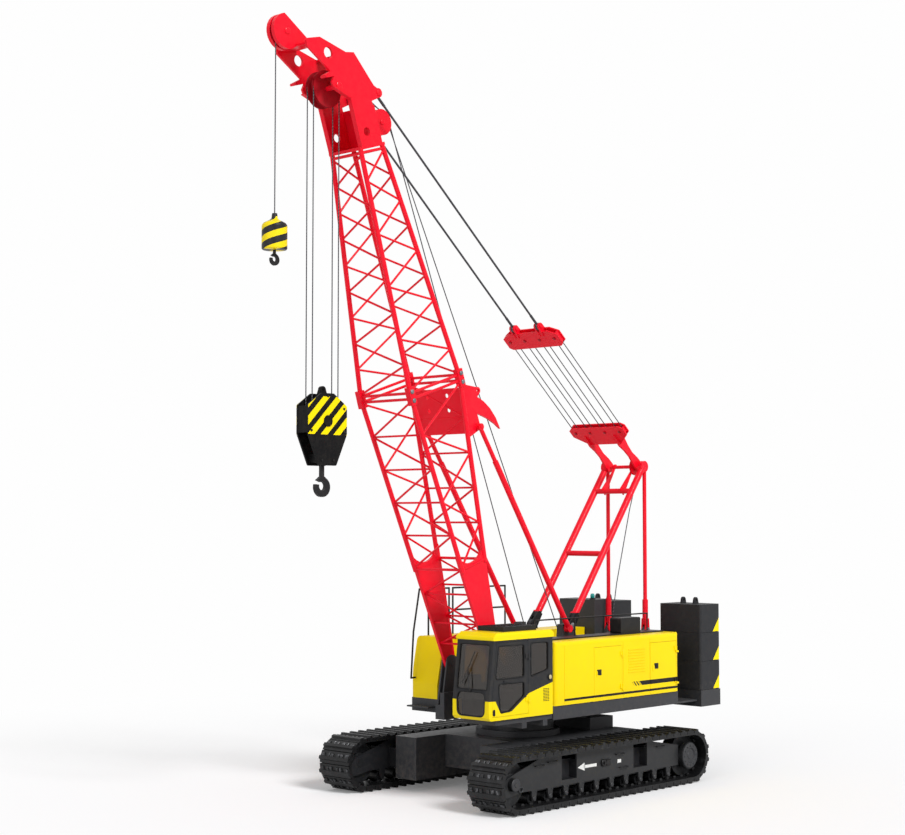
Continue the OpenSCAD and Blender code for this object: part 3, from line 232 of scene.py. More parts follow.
def painted_shade_in_openings(tree, place, base):
    """Painted shade in the two openings of a side frame: every face nearer the crane's middle than 2.305 m
    is laid near-black.
    """
    y = add(tree, "SeparateXYZ", {0: place}).outputs["Y"]
    depth = add(tree, "Math", {0: y}, operation="ABSOLUTE").outputs[0]
    return lay(tree, between(tree, depth, 0.0, 2.305), base, "#202124")


# Side frame paint, with painted shade in near-black on its inner faces seen through the openings.
frame_grey = painted("side_frame_enamel_painted_shade", ("#2a2b2d", "#222325"), 0.36, dust_top=0.4, colour=painted_shade_in_openings)
dress(frame_grey, "side_frame_left", "side_frame_right")
black = painted("black_enamel", ("#151517", "#101012"), 0.38)
dress(black, "handrails", "cab_roof_hatch", "main_hook", "auxiliary_hook")
# Head sheaves get a red darker than the boom's, as painted shade for their place inside the head; the bridle
# pins take the same red.
dark_red_painted_shade = painted("sheave_red_painted_shade", ("#b80c20", "#8f0a18"), 0.35)
dress(dark_red_painted_shade, "head_sheaves")
seat_black = painted("seat_vinyl", ("#1d1d20", "#161618"), 0.6, grain=220.0)
dress(seat_black, "cab_seat")


# Track, wheels and rollers
# Cast and rolled steel, blackened, bright where it rubs on the ground.
def worn_steel(name, dark, bright, rough):
    """Dark cast steel with a grainy skin and paler worn spots, which on the shoe pads are also a painted
    highlight.
    """
    m, tree, surface = new_material(name)
    place = add(tree, "TexCoord").outputs["Object"]
    patch = add(tree, "TexNoise", {"Vector": place}, Scale=6.0, Detail=8.0, Roughness=0.7)
    rub = add(tree, "MapRange", {0: patch.outputs["Fac"]}, _1=0.5, _2=0.72)
    tone = add(tree, "Mix", {0: rub.outputs[0]}, data_type="RGBA", _6=linear(dark), _7=linear(bright))
    grit = add(tree, "TexNoise", {"Vector": place}, Scale=70.0, Detail=3.0)
    bump = add(tree, "Bump", {"Height": grit.outputs["Fac"]}, Strength=0.22, Distance=0.006)
    rr = add(tree, "MapRange", {0: patch.outputs["Fac"]}, _3=rough, _4=rough + 0.15)
    shader = add(tree, "BsdfPrincipled", {"Base Color": tone.outputs[2], "Roughness": rr.outputs[0],
                                          "Normal": bump.outputs[0]}, Metallic=0.35)
    tree.links.new(shader.outputs[0], surface)
    return m


track_iron = worn_steel("track_cast_steel", "#0c0c0e", "#2b2c2f", 0.4)
dress(track_iron, "track_left", "track_right", "rollers", "slew_ring")
dress(worn_steel("wheel_steel", "#1c1d1f", "#3a3b3e", 0.45), "sprockets", "idlers")
machined = worn_steel("machined_steel", "#6b6c70", "#94959a", 0.35)
dress(machined, "engine_block", "main_drum", "auxiliary_drum", "luffing_drum")


def put(name, parts, material, body, smooth=False):
    """One mesh from (points, faces) arrays, riding on a body and taking a material.
    Points that fall together at poles are merged, so that every shell is closed."""
    pts, quads, n = [], [], 0
    for p, f in parts:
        pts.append(np.asarray(p, float).reshape(-1, 3))
        quads += (np.asarray(f) + n).tolist()
        n += len(pts[-1])
    mesh = bpy.data.meshes.new(name)
    mesh.from_pydata(np.concatenate(pts).tolist(), [], quads)
    work = bmesh.new()
    work.from_mesh(mesh)
    bmesh.ops.remove_doubles(work, verts=work.verts, dist=1e-5)
    work.to_mesh(mesh)
    work.free()
    mesh.materials.append(material)
    if smooth:
        mesh.polygons.foreach_set("use_smooth", np.ones(len(mesh.polygons), bool))
    mesh.update()
    o = bpy.data.objects.new(name, mesh)
    scene.collection.objects.link(o)
    if body:
        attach(o, body)
    return o


def grid(rows, cols, wrap_rows=False, wrap_cols=True):
    """Quads of a grid of rows x cols points."""
    i, j = np.meshgrid(np.arange(rows - (not wrap_rows)), np.arange(cols - (not wrap_cols)), indexing="ij")
    a, b = (i + 1) % rows, (j + 1) % cols
    return np.stack([i * cols + j, i * cols + b, a * cols + b, a * cols + j], -1).reshape(-1, 4)


def plates(outline, depths, at, u, v, w):
    """Copies of a flat plate with bevelled rims. outline (n, 2) is convex and drawn along u and v, depths
    are (inset, height along w) of its rims from the bottom up, and a flat face closes each end. at, u, v, w
    are one vector each or a row for every copy."""
    outline = np.asarray(outline, float)
    middle = outline.mean(0)
    size = np.abs(outline - middle).max()
    rings = [(middle + (outline - middle) * (1 - inset / size), h) for inset, h in depths]
    point = np.broadcast_to(middle, outline.shape)
    rings = [(point, depths[0][1])] + rings + [(point, depths[-1][1])]
    at, u, v, w = (np.asarray(a, float).reshape(-1, 1, 3) for a in (at, u, v, w))
    made = []
    for flat, h in rings:
        made.append(at + flat[:, :1] * u + flat[:, 1:] * v + h * w)
    pts = np.stack(made, 1)
    k, r, n = pts.shape[:3]
    quads = grid(r, n)
    faces = (quads[None] + (np.arange(k) * r * n)[:, None, None]).reshape(-1, 4)
    return pts.reshape(-1, 3), faces


def disc(n, r):
    """Outline of a regular polygon with n sides."""
    a = np.arange(n) * 2 * np.pi / n
    return np.stack([np.cos(a), np.sin(a)], -1) * r


def bolts(points, axis, r=0.022, h=0.014):
    """Hexagon bolt heads at points, standing out along axis."""
    points = np.asarray(points, float).reshape(-1, 3)
    w = np.broadcast_to(np.asarray(axis, float), points.shape)
    u = np.cross(w, [0.31, 0.22, 0.92])
    u /= np.linalg.norm(u, axis=1, keepdims=True)
    return plates(disc(6, r), [(0, -0.004), (0, h * 0.7), (r * 0.25, h)], points, u, np.cross(w, u), w)


# Shoes and link chain of the tracks
# Every shoe has cast bosses over the link bolts and a raised wear pad at each end, which show in the photo
# as rows of small blocks. Guide horns stand on the link chain inside the loop, two to a shoe.
along_x, along_y, along_z = np.eye(3)
both_sides = ((1, "left"), (-1, "right"))
track_y, wheel_z, pitch_r, wheelbase, shoes = 2.11, 0.58, 0.48, 5.7, 58
wheel_x = wheelbase / 2
half_turn = np.pi * pitch_r
loop = 2 * wheelbase + 2 * half_turn


def on_loop(s):
    """Points, outward and forward directions at the way s along the track's pitch line."""
    s = np.mod(s, loop)
    z, o = np.zeros_like(s), np.ones_like(s)
    a1 = (s - wheelbase) / pitch_r - np.pi / 2
    a2 = (s - 2 * wheelbase - half_turn) / pitch_r + np.pi / 2
    zone = [s < wheelbase, s < wheelbase + half_turn, s < 2 * wheelbase + half_turn, s <= loop]
    nx = np.select(zone, [z, np.cos(a1), z, np.cos(a2)])
    nz = np.select(zone, [-o, np.sin(a1), o, np.sin(a2)])
    cx = np.select(zone, [s - wheel_x, o * wheel_x, wheelbase * 1.5 + half_turn - s, -o * wheel_x])
    out = np.stack([nx, z, nz], -1)
    return np.stack([cx, z, o * wheel_z], -1) + out * pitch_r, out, np.stack([-nz, z, nx], -1)


def oblong(half_w, half_h):
    """Outline of a rectangle about the origin, anticlockwise."""
    return [(-half_w, -half_h), (half_w, -half_h), (half_w, half_h), (-half_w, half_h)]


# The shoe pads' pale steel is partly worn metal and partly a painted highlight on the lug tops.
pad_wear_and_painted_glint = worn_steel("shoe_steel_wear_and_painted_glint", "#1d1e20", "#85868b", 0.3)
way = (np.arange(shoes) + 0.62) * loop / shoes
spot, outwards, along = on_loop(way)
pad_rims = [(0, 0.05), (0, 0.072), (0.008, 0.08)]
horn_rims = [(0, -0.03), (0, 0.02), (0.012, 0.045)]
# each pad's place across the shoe and half its width
pad_places = ((-0.36, 0.05), (-0.2, 0.035), (-0.09, 0.035), (0.09, 0.035), (0.2, 0.035), (0.36, 0.05))
for sign, name in both_sides:
    made = []
    for dy, half_w in pad_places:
        middle = spot + [0, sign * track_y + dy, 0]
        made.append(plates(oblong(0.05, half_w), pad_rims, middle, along, -along_y, outwards))
    put(f"shoe_pads_{name}", made, pad_wear_and_painted_glint, "undercarriage")
    made = []
    for dy in (-0.2, 0.2):
        middle = spot + [0, sign * track_y + dy, 0] - outwards * 0.03
        made.append(plates(oblong(0.045, 0.02), horn_rims, middle, along, along_y, -outwards))
    put(f"chain_horns_{name}", made, track_iron, "undercarriage")


# Hubs, roller caps and bolts of the side frames
# Turned steel covers with a ring of bolts; the drive wheel's is a wide shallow dish, painted like the frame.
def turned(profile, centre, axis, n=48):
    """Surface of revolution: profile rows are (radius, height along axis) from the bottom up.
    A flat disc closes each end."""
    axis = np.asarray(axis, float)
    u = np.cross(axis, [0.31, 0.22, 0.92])
    u /= np.linalg.norm(u)
    v = np.cross(axis, u)
    a = np.arange(n) * 2 * np.pi / n
    ring = np.cos(a)[:, None] * u + np.sin(a)[:, None] * v
    p = np.asarray(profile, float)
    p = np.concatenate([p[:1] * [0, 1], p, p[-1:] * [0, 1]])
    pts = np.asarray(centre, float) + p[:, 0, None, None] * ring + p[:, 1, None, None] * axis
    return pts, grid(len(p), n)


hub_paint = painted("hub_enamel", ("#37383b", "#2d2e31"), 0.38, dust_top=0.4)
hub_face, frame_face = 2.43, 2.34
dish = [(0.272, -0.01), (0.27, 0.02), (0.25, 0.03), (0.165, 0.03), (0.15, 0.008), (0.08, 0.01), (0.07, 0.02),
        (0.0, 0.02)]
idler_cap = [(0.125, -0.004), (0.125, 0.008), (0.11, 0.018), (0.05, 0.02), (0.045, 0.03), (0.0, 0.03)]
roller_cap = [(0.05, -0.004), (0.05, 0.012), (0.038, 0.022), (0.0, 0.022)]
roller_x = -2.2 + 4.4 * np.arange(10) / 9
turn = np.arange(12) * np.pi / 6
for sign, name in both_sides:
    out = sign * along_y
    bolt_ring = np.stack([-wheel_x + 0.21 * np.cos(turn), np.full(12, sign * (hub_face + 0.03)),
                          wheel_z + 0.21 * np.sin(turn)], -1)
    made = [turned(dish, (-wheel_x, sign * hub_face, wheel_z), out), bolts(bolt_ring, out, 0.016, 0.012)]
    put(f"drive_cover_{name}", made, hub_paint, "undercarriage")
    made = [turned(idler_cap, (wheel_x, sign * hub_face, wheel_z), out)]
    put(f"idler_cover_{name}", made, hub_paint, "undercarriage")
    made = [turned(roller_cap, (x, sign * frame_face, 0.24), out, 20) for x in roller_x]
    bolt_x = np.repeat(roller_x, 2) + np.tile([-0.06, 0.06], 10)
    heads = np.stack([bolt_x, np.full(20, sign * frame_face), np.full(20, 0.37)], -1)
    made.append(bolts(heads, out, 0.018, 0.012))
    put(f"roller_caps_{name}", made, hub_paint, "undercarriage")


# Steps, fittings and marks on the side frames' outer plates
# Bent bar steps, the hose cover between the windows and towing eyes. A plain white arrow that points
# forwards and a plain oblong are painted on.
def rounded(points, r, n=5):
    """A closed flat outline with its corners turned into arcs of radius r."""
    p = np.asarray(points, float)
    u = np.roll(p, 1, 0) - p
    v = np.roll(p, -1, 0) - p
    u /= np.linalg.norm(u, axis=1, keepdims=True)
    v /= np.linalg.norm(v, axis=1, keepdims=True)
    half = np.arccos((u * v).sum(1)) / 2
    bis = (u + v) / np.linalg.norm(u + v, axis=1, keepdims=True)
    centre = p + bis * (r / np.sin(half))[:, None]
    a = p + u * (r / np.tan(half))[:, None] - centre
    b = p + v * (r / np.tan(half))[:, None] - centre
    a0 = np.arctan2(a[:, 1], a[:, 0])
    turn = np.arctan2(b[:, 1], b[:, 0]) - a0
    turn = (turn + np.pi) % (2 * np.pi) - np.pi
    t = a0[:, None] + turn[:, None] * np.linspace(0, 1, n + 1)
    return (centre[:, None] + r * np.stack([np.cos(t), np.sin(t)], -1)).reshape(-1, 2)


def swept(path, r, n=10, closed=False, squash=1.0, up=(0.1, 0.2, 0.97)):
    """A round (or flattened) profile of radius r carried along the points of a path."""
    path = np.asarray(path, float)
    ahead = np.roll(path, -1, 0) - np.roll(path, 1, 0)
    if not closed:
        ahead[0] = path[1] - path[0]
        ahead[-1] = path[-1] - path[-2]
    ahead /= np.linalg.norm(ahead, axis=1, keepdims=True)
    u = np.cross(ahead, np.asarray(up, float))
    u /= np.linalg.norm(u, axis=1, keepdims=True)
    v = np.cross(ahead, u)
    a = np.arange(n) * 2 * np.pi / n
    pts = path[:, None] + r * (np.cos(a)[:, None] * u[:, None] + squash * np.sin(a)[:, None] * v[:, None])
    if closed:
        return pts, grid(len(path), n, wrap_rows=True)
    ends = np.stack([np.broadcast_to(path[0], (n, 3)), np.broadcast_to(path[-1], (n, 3))])
    pts = np.concatenate([ends[:1], pts, ends[1:]])
    return pts, grid(len(path) + 2, n)


def side_plates(outline, rims, at, sign):
    """Plates on a face that looks left (sign 1) or right (sign -1). The outline is drawn anticlockwise along
    x and z."""
    return plates(np.asarray(outline)[::-sign], rims, at, along_x, along_z, sign * along_y)


white_paint = painted("white_mark_paint", ("#e6e6e4", "#dadad8"), 0.5, dust_top=0.9)
step_places = ((2.05, 0.86), (1.66, 0.9), (-0.5, 0.84), (-0.62, 0.56), (-1.9, 0.86))
# a step's bar from above: the way along the plate and the distance from the crane's middle
step_bar = np.array([(-0.13, 2.33), (-0.13, 2.385), (-0.1, 2.4), (0.1, 2.4), (0.13, 2.385), (0.13, 2.33)])
hose_boss = [(0.075, -0.004), (0.075, 0.03), (0.06, 0.045), (0.03, 0.045), (0.028, 0.07), (0.0, 0.07)]
cover_rims = [(0, -0.002), (0, 0.035), (0.012, 0.045)]
mark_rims = [(0, -0.001), (0, 0.002), (0.0005, 0.0025)]
arrow_head = [(0.86, 0.695), (0.64, 0.775), (0.64, 0.615)]
arrow_tail = [(0.66, 0.665), (0.66, 0.725), (0.25, 0.725), (0.25, 0.665)]
plain_mark = [(-0.56, 0.66), (-0.44, 0.66), (-0.44, 0.73), (-0.56, 0.73)]
eye_ring = rounded(oblong(0.06, 0.045), 0.04)
ring_up = (0.31, 0.9, 0.11)
for sign, name in both_sides:
    made = []
    for x, z in step_places:
        bar = np.column_stack([x + step_bar[:, 0], sign * step_bar[:, 1], np.full(len(step_bar), z)])
        made.append(swept(bar, 0.011, 8, up=(0.05, 0.1, 0.99)))
    made.append(turned(hose_boss, (0.04, sign * frame_face, 0.71), sign * along_y, 28))
    made.append(side_plates(oblong(0.07, 0.06), cover_rims, (-0.1, sign * frame_face, 0.71), sign))
    put(f"frame_fittings_{name}", made, black, "undercarriage")
    eye = np.stack([2.62 + eye_ring[:, 0], np.full(len(eye_ring), sign * 2.36), 0.46 + eye_ring[:, 1]], -1)
    made = [swept(eye, 0.016, 8, closed=True, up=ring_up)]
    put(f"towing_eye_{name}", made, hub_paint, "undercarriage")
    made = []
    for shape in (arrow_head, arrow_tail, plain_mark):
        made.append(side_plates(shape, mark_rims, (0, sign * frame_face, 0), sign))
    put(f"frame_marks_{name}", made, white_paint, "undercarriage")


# Yellow housings with doors
# Sheet steel panels, gloss yellow; black stripes run along the side, a thin one low and a thicker one at
# the rear.
def housing_stripes(tree, place, base):
    """Thin stripe at 1.97 m, thick stripe from a slanted front end to the rear at 2.14 m, both on the outer
    sides."""
    xyz = add(tree, "SeparateXYZ", {0: place}).outputs
    side = add(tree, "Math", {0: xyz["Y"]}, operation="ABSOLUTE").outputs[0]
    outer = add(tree, "Math", {0: side}, operation="GREATER_THAN", _1=1.6).outputs[0]
    thin = both_of(tree, between(tree, xyz["Z"], 1.945, 1.995), between(tree, xyz["X"], -3.6, 0.525))
    lean = add(tree, "Math", {0: xyz["X"], 1: xyz["Z"]}, operation="SUBTRACT").outputs[0]
    # the thick stripe begins with three slanted dashes
    dash = add(tree, "Math", {0: lean}, operation="PINGPONG", _1=0.045).outputs[0]
    dash = add(tree, "Math", {0: dash}, operation="GREATER_THAN", _1=0.022).outputs[0]
    dash = both_of(tree, dash, between(tree, lean, -4.18, -3.93))
    run = both_of(tree, between(tree, lean, -9.0, -4.2), dash, "MAXIMUM")
    thick = both_of(tree, between(tree, xyz["Z"], 2.095, 2.19), run)
    mask = both_of(tree, both_of(tree, thin, thick, "MAXIMUM"), outer)
    return lay(tree, mask, base, "#161618")


yellow_side = painted("yellow_housing_enamel", ("#fade00", "#f5d200"), 0.28, dust="#a8956b", dust_top=2.0,
                      shine=0.14, colour=housing_stripes)
dress(yellow_side, "left_housing", "left_door_front", "left_door_rear", "right_housing")

# Latches of the left housing's two doors
# Each is a black paddle in a shallow dish.
side_y = 1.73
dish_rims = [(0, -0.004), (0, 0.008), (0.01, 0.014)]
paddle = [(-0.03, -0.02), (0.045, -0.02), (0.045, 0.02), (-0.03, 0.02)]
paddle_rims = [(0, 0.01), (0, 0.022), (0.004, 0.026)]
for x, z, name in ((-0.621, 2.462, "front"), (-2.622, 2.477, "rear")):
    made = [side_plates(oblong(0.07, 0.06), dish_rims, (x, side_y, z), 1),
            side_plates(paddle, paddle_rims, (x, side_y, z), 1)]
    put(f"latch_{name}", made, black, f"left_door_{name}")

# Door panels of the right housing
# Pressed sheets that stand 13 mm proud, each with two hinges and a latch.
right_door_x = np.array([-2.6, -1.3, 0.1])
panel = rounded(oblong(0.56, 0.46), 0.05)
at = np.array([(x, -side_y, 2.52) for x in right_door_x])
made = [side_plates(panel, [(0, -0.002), (0, 0.008), (0.012, 0.013)], at, -1)]
put("right_doors", made, yellow_side, "upperworks")
made = [side_plates(oblong(0.05, 0.028), [(0, 0.008), (0, 0.022), (0.01, 0.03)], at + [0.47, 0, 0.02], -1)]
hinge = [(0.0, -0.06), (0.018, -0.06), (0.018, 0.06), (0.0, 0.06)]
for x, y, z in at:
    for dz in (-0.3, 0.3):
        made.append(turned(hinge, (x - 0.57, y - 0.016, z + dz), along_z, 12))
put("right_door_fittings", made, black, "upperworks")

# Louvres
# Pressed slats in the left housing's middle panel and in the right housing's doors, so that the engine
# breathes.
slat_rims = [(0, -0.003), (0, 0.006), (0.01, 0.014)]
slat_step = 0.06
at = np.stack([np.full(9, -1.92), np.full(9, 1.731), 2.4 + np.arange(9) * slat_step], -1)
made = [side_plates(oblong(0.3, 0.012), slat_rims, at, 1)]
put("louvres_left", made, yellow_side, "upperworks")
slat_z = 2.25 + np.arange(12) * slat_step
at = np.stack([np.repeat(right_door_x, 12), np.full(36, -1.743), np.tile(slat_z, 3)], -1)
made = [side_plates(oblong(0.42, 0.012), slat_rims, at, -1)]
put("louvres_right", made, yellow_side, "upperworks")


# Cab
# A welded sheet steel cab, yellow below and round the roof, dark grey window frames, tinted glass in rubber
# seals.
def cab_colours(tree, place, base):
    """Dark grey above a bent line along the side, yellow below it, on the front below the lower pane's top
    and on the roof. The inside is lined with dark grey."""
    xyz = add(tree, "SeparateXYZ", {0: place}).outputs
    bends = ((0.88, 2.378), (1.639, 2.198), (2.163, 1.88), (2.5, 1.87), (2.645, 2.105), (2.88, 2.115))
    start, end, lowest = 0.88, 2.88, 1.7
    along = add(tree, "MapRange", {0: xyz["X"]}, _1=start, _2=end)
    line = add(tree, "ValToRGB", {0: along.outputs[0]})
    ramp = line.color_ramp
    for x, z in bends[1:-1]:
        ramp.elements.new((x - start) / 2)
    for e, (x, z) in zip(ramp.elements, bends):
        e.color = (z - lowest,) * 3 + (1.0,)
    level = add(tree, "MapRange", {0: line.outputs[0]}, _3=lowest, _4=2.7).outputs[0]
    above = both_of(tree, xyz["Z"], level, "GREATER_THAN")
    frame_zone = both_of(tree, above, between(tree, xyz["Z"], 1.0, 3.287))
    inside = both_of(tree, between(tree, xyz["X"], 0.94, 2.62), between(tree, xyz["Y"], 0.803, 1.687))
    inside = both_of(tree, inside, between(tree, xyz["Z"], 1.77, 3.392))
    return lay(tree, both_of(tree, frame_zone, inside, "MAXIMUM"), base, "#2a2b2e")


cab_paint = painted("cab_enamel", ("#fbe300", "#f6d800"), 0.28, dust="#a8956b", dust_top=1.9, shine=0.14,
                    colour=cab_colours)
dress(cab_paint, "cab_shell", "cab_door")

# Laminated safety glass, tinted brown, smooth with a few dull smears
glass, tree, surface = new_material("tinted_safety_glass")
smear_place = add(tree, "TexCoord").outputs["Object"]
smear = add(tree, "TexNoise", {"Vector": smear_place}, Scale=5.0, Detail=3.0)
smear_rough = add(tree, "MapRange", {0: smear.outputs["Fac"]}, _1=0.4, _2=0.8, _3=0.02, _4=0.1)
shader = add(tree, "BsdfPrincipled", {"Roughness": smear_rough.outputs[0]}, Base_Color=linear("#85786d"),
             IOR=1.5)
shader.inputs["Transmission Weight"].default_value = 0.96
tree.links.new(shader.outputs[0], surface)
dress(glass, "cab_glass", "cab_door_glass")

rubber = painted("rubber_seal", ("#17181a", "#101113"), 0.6, grain=120.0)
cab_rear, cab_front, cab_right, cab_left, cab_floor, cab_top = 0.9, 2.83, 0.76, 1.73, 1.727, 3.437


def lean_x(z):
    """Windscreen's outer face: upright to 2.127 m, then leaning back 150 mm up to 3.287 m."""
    return 2.84 - 0.15 * np.clip((z - 2.127) / 1.16, 0, 1)


def seal(corners, r, wall, n=5):
    """A rubber seal round a pane. Corners are (way along the wall, height) and get arcs of radius r."""
    a, z = rounded(corners, r, n).T
    walls = {"front": (lean_x(z), a), "rear": (np.full_like(a, cab_rear), a),
             "left": (a, np.full_like(a, cab_left)), "right": (a, np.full_like(a, cab_right))}
    x, y = walls[wall]
    return swept(np.stack([x, y, z], -1), 0.014, 8, closed=True, up=ring_up)


def pane(a0, a1, b0, b1, low, high):
    """Corners of a pane with level edges: its ends along the wall are a0 and a1 below, b0 and b1 above."""
    return [(a0, low), (a1, low), (b1, high), (b0, high)]


corner = 0.045
screen = pane(cab_right + 0.08, cab_left - 0.08, cab_right + 0.08, cab_left - 0.08, cab_floor + 0.6,
              cab_top - 0.23)
low_pane = pane(cab_right + 0.13, cab_left - 0.13, cab_right + 0.105, cab_left - 0.105, cab_floor + 0.08,
                cab_floor + 0.55)
rear_pane = pane(cab_right + 0.09, cab_left - 0.09, cab_right + 0.09, cab_left - 0.09, cab_floor + 0.72,
                 cab_top - 0.24)
right_pane = pane(cab_rear + 0.1, cab_front - 0.25, cab_rear + 0.1, cab_front - 0.33, cab_floor + 0.65,
                  cab_top - 0.24)
quarter = [(cab_rear + 0.142, cab_floor + 0.909), (cab_rear + 0.679, cab_floor + 0.791),
           (cab_rear + 0.679, cab_top - 0.245), (cab_rear + 0.142, cab_top - 0.245)]
made = [seal(screen, corner, "front"), seal(low_pane, 0.11, "front", 8), seal(rear_pane, corner, "rear"),
        seal(right_pane, 0.06, "right"), seal(quarter, corner, "left")]
put("window_seals", made, rubber, "upperworks", True)
door_up = pane(1.784, 2.64, 1.784, 2.552, cab_floor + 0.804, cab_top - 0.26)
door_low = [(1.784, cab_floor + 0.433), (2.221, cab_floor + 0.157), (2.505, cab_floor + 0.143),
            (2.56, cab_floor + 0.705), (1.784, cab_floor + 0.705)]
made = [seal(door_up, corner, "left"), seal(door_low, corner, "left")]
put("door_seals", made, rubber, "cab_door", True)

# Wiper on the windscreen
# An arm from a spindle below the pane carries the rubber blade.
z = np.linspace(2.42, 3.06, 8)
wiper = [swept(np.stack([lean_x(z) + 0.03, np.linspace(1.0, 1.28, 8), z], -1), 0.012, 8, squash=0.6)]
y = np.array([1.22, 1.2, 1.14])
z = np.array([2.3, 2.36, 2.75])
wiper.append(swept(np.stack([lean_x(z) + 0.045, y, z], -1), 0.011, 8))
spindle = [(0.03, 0.0), (0.03, 0.04), (0.018, 0.055), (0.0, 0.055)]
wiper.append(turned(spindle, (lean_x(z[0]) - 0.004, y[0], z[0]), along_x, 16))
put("windscreen_wiper", wiper, black, "upperworks", True)


# Lamp, vent slots and oval step recess on the cab's left side
# A round lamp with a ribbed lens in a black rim, three columns of black slots and a rubber-lined recess.
def ribbed_lens(name, code, scale, direction, strength, rough, ior):
    """Moulded lens: even colour, smooth, with ribs as a wave across one axis."""
    m, tree, surface = new_material(name)
    place = add(tree, "TexCoord").outputs["Object"]
    ribs = add(tree, "TexWave", {"Vector": place}, Scale=scale, bands_direction=direction)
    bump = add(tree, "Bump", {"Height": ribs.outputs["Fac"]}, Strength=strength, Distance=0.004)
    shader = add(tree, "BsdfPrincipled", {"Normal": bump.outputs[0]}, Base_Color=linear(code),
                 Roughness=rough, IOR=ior)
    tree.links.new(shader.outputs[0], surface)
    return m


lens = ribbed_lens("lamp_glass", "#c4b68c", 38.0, "X", 0.3, 0.12, 1.5)
lamp_at = (0.995, cab_left, 2.478)
made = [turned([(0.062, -0.003), (0.064, 0.02), (0.052, 0.03), (0.048, 0.02)], lamp_at, along_y, 32)]
put("cab_lamp_rim", made, black, "upperworks", True)
made = [turned([(0.05, 0.0), (0.05, 0.02), (0.03, 0.028), (0.0, 0.03)], lamp_at, along_y, 32)]
put("cab_lamp_lens", made, lens, "upperworks", True)
at = np.array([(1.04 + 0.066 * i, cab_left, 2.01 + 0.03 * j) for i in range(3) for j in range(9)])
made = [side_plates(oblong(0.026, 0.006), [(0, -0.003), (0, 0.004), (0.003, 0.006)], at, 1)]
put("cab_vent", made, black, "upperworks")
oval = rounded([(2.655, 1.82), (2.727, 1.82), (2.727, 1.952), (2.655, 1.952)], 0.034, 6)
made = [side_plates(oval, [(0, -0.002), (0, 0.004), (0.006, 0.006)], (0, cab_left, 0), 1)]
put("cab_side_recess", made, rubber, "upperworks")


# Counterweight slabs
# Cast blocks, dark grey, with yellow warning triangles at the rear outer edges.
def warning_corners(tree, place, base):
    """Yellow triangles on each slab's rear outer corner, 0.28 m wide at the foot and running out 0.37 m
    up."""
    xyz = add(tree, "SeparateXYZ", {0: place}).outputs
    step = add(tree, "Math", {0: xyz["Z"]}, operation="SUBTRACT", _1=1.83).outputs[0]
    step = add(tree, "Math", {0: step}, operation="MODULO", _1=0.64).outputs[0]
    up = add(tree, "MapRange", {0: step}, _1=0.02, _2=0.37, _3=0.28, _4=0.0).outputs[0]
    inwards = add(tree, "MapRange", {0: xyz["X"]}, _1=-4.93, _2=-4.18, _3=0.0, _4=0.75).outputs[0]
    mark = both_of(tree, up, inwards, "GREATER_THAN")
    side = add(tree, "Math", {0: xyz["Y"]}, operation="ABSOLUTE").outputs[0]
    on_side = add(tree, "Math", {0: side}, operation="GREATER_THAN", _1=1.816).outputs[0]
    in_band = between(tree, step, 0.02, 0.37)
    return lay(tree, both_of(tree, both_of(tree, mark, on_side), in_band), base, "#f8e000")


slab_paint = painted("slab_enamel", ("#2b2c2f", "#242528"), 0.5, dust_top=2.2, shine=0.18,
                     colour=warning_corners)
dress(slab_paint, "counterweight_lower", "counterweight_middle", "counterweight_upper")

# Rear lamps and slab bolts
# Red ribbed lenses in black frames on the tray, and the heads of the bolts that hold the slabs.
rear_x = -4.93
red_lens = ribbed_lens("red_lamp_lens", "#b3101a", 26.0, "Z", 0.35, 0.15, 1.49)
lamp_shape = rounded(oblong(0.14, 0.05), 0.03)
at = np.array([(rear_x, -1.2, 1.66), (rear_x, 1.2, 1.66)])
rims = [(0, -0.002), (0, 0.016), (0.008, 0.022)]
made = [plates(lamp_shape * 1.12, rims, at, along_y, -along_z, -along_x)]
put("rear_lamp_frames", made, black, "upperworks")
rims = [(0, 0.01), (0, 0.032), (0.02, 0.042)]
made = [plates(lamp_shape, rims, at, along_y, -along_z, -along_x)]
put("rear_lamp_lenses", made, red_lens, "upperworks")
heads = [(rear_x, y, z) for z in (2.15, 2.79, 3.43) for y in (-1.55, -0.95, 0.95, 1.55)]
put("slab_bolts", [bolts(heads, -along_x, 0.05, 0.03)], black, "upperworks")

# Beacon on the tank box
# A teal lens on a black foot.
teal = ribbed_lens("teal_lens", "#1d9a96", 30.0, "Z", 0.3, 0.15, 1.49)
tank_x, tank_y, tank_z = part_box("rear_tank")[1]
beacon_at = (tank_x - 0.12, tank_y - 0.15, tank_z)
made = [turned([(0.07, -0.004), (0.07, 0.02), (0.055, 0.03), (0.0, 0.03)], beacon_at, along_z, 24)]
put("beacon_foot", made, black, "upperworks", True)
made = [turned([(0.05, 0.026), (0.052, 0.1), (0.035, 0.13), (0.0, 0.138)], beacon_at, along_z, 24)]
put("beacon_lens", made, teal, "upperworks", True)

# Ropes
# Galvanised wire rope with a greased dark skin, wound from strands that show as slanted ridges.
rope_skin, tree, surface = new_material("greased_wire_rope")
place = add(tree, "TexCoord").outputs["Object"]
strands = add(tree, "Mapping", {"Vector": place}, Rotation=(0.6, 0.5, 0.0))
# strands about 25 mm apart, coarser than the real ones so that they show
twist = add(tree, "TexWave", {"Vector": strands.outputs[0]}, Scale=13.0, Distortion=0.6)
tone = add(tree, "Mix", {0: twist.outputs["Fac"]}, data_type="RGBA", _6=linear("#26272a"),
           _7=linear("#5a5b60"))
bump = add(tree, "Bump", {"Height": twist.outputs["Fac"]}, Strength=0.5, Distance=0.006)
shader = add(tree, "BsdfPrincipled", {"Base Color": tone.outputs[2], "Normal": bump.outputs[0]},
             Metallic=0.6, Roughness=0.45)
tree.links.new(shader.outputs[0], surface)
dress(rope_skin, "main_falls", "auxiliary_fall", "pendants")
rope_r = 0.011

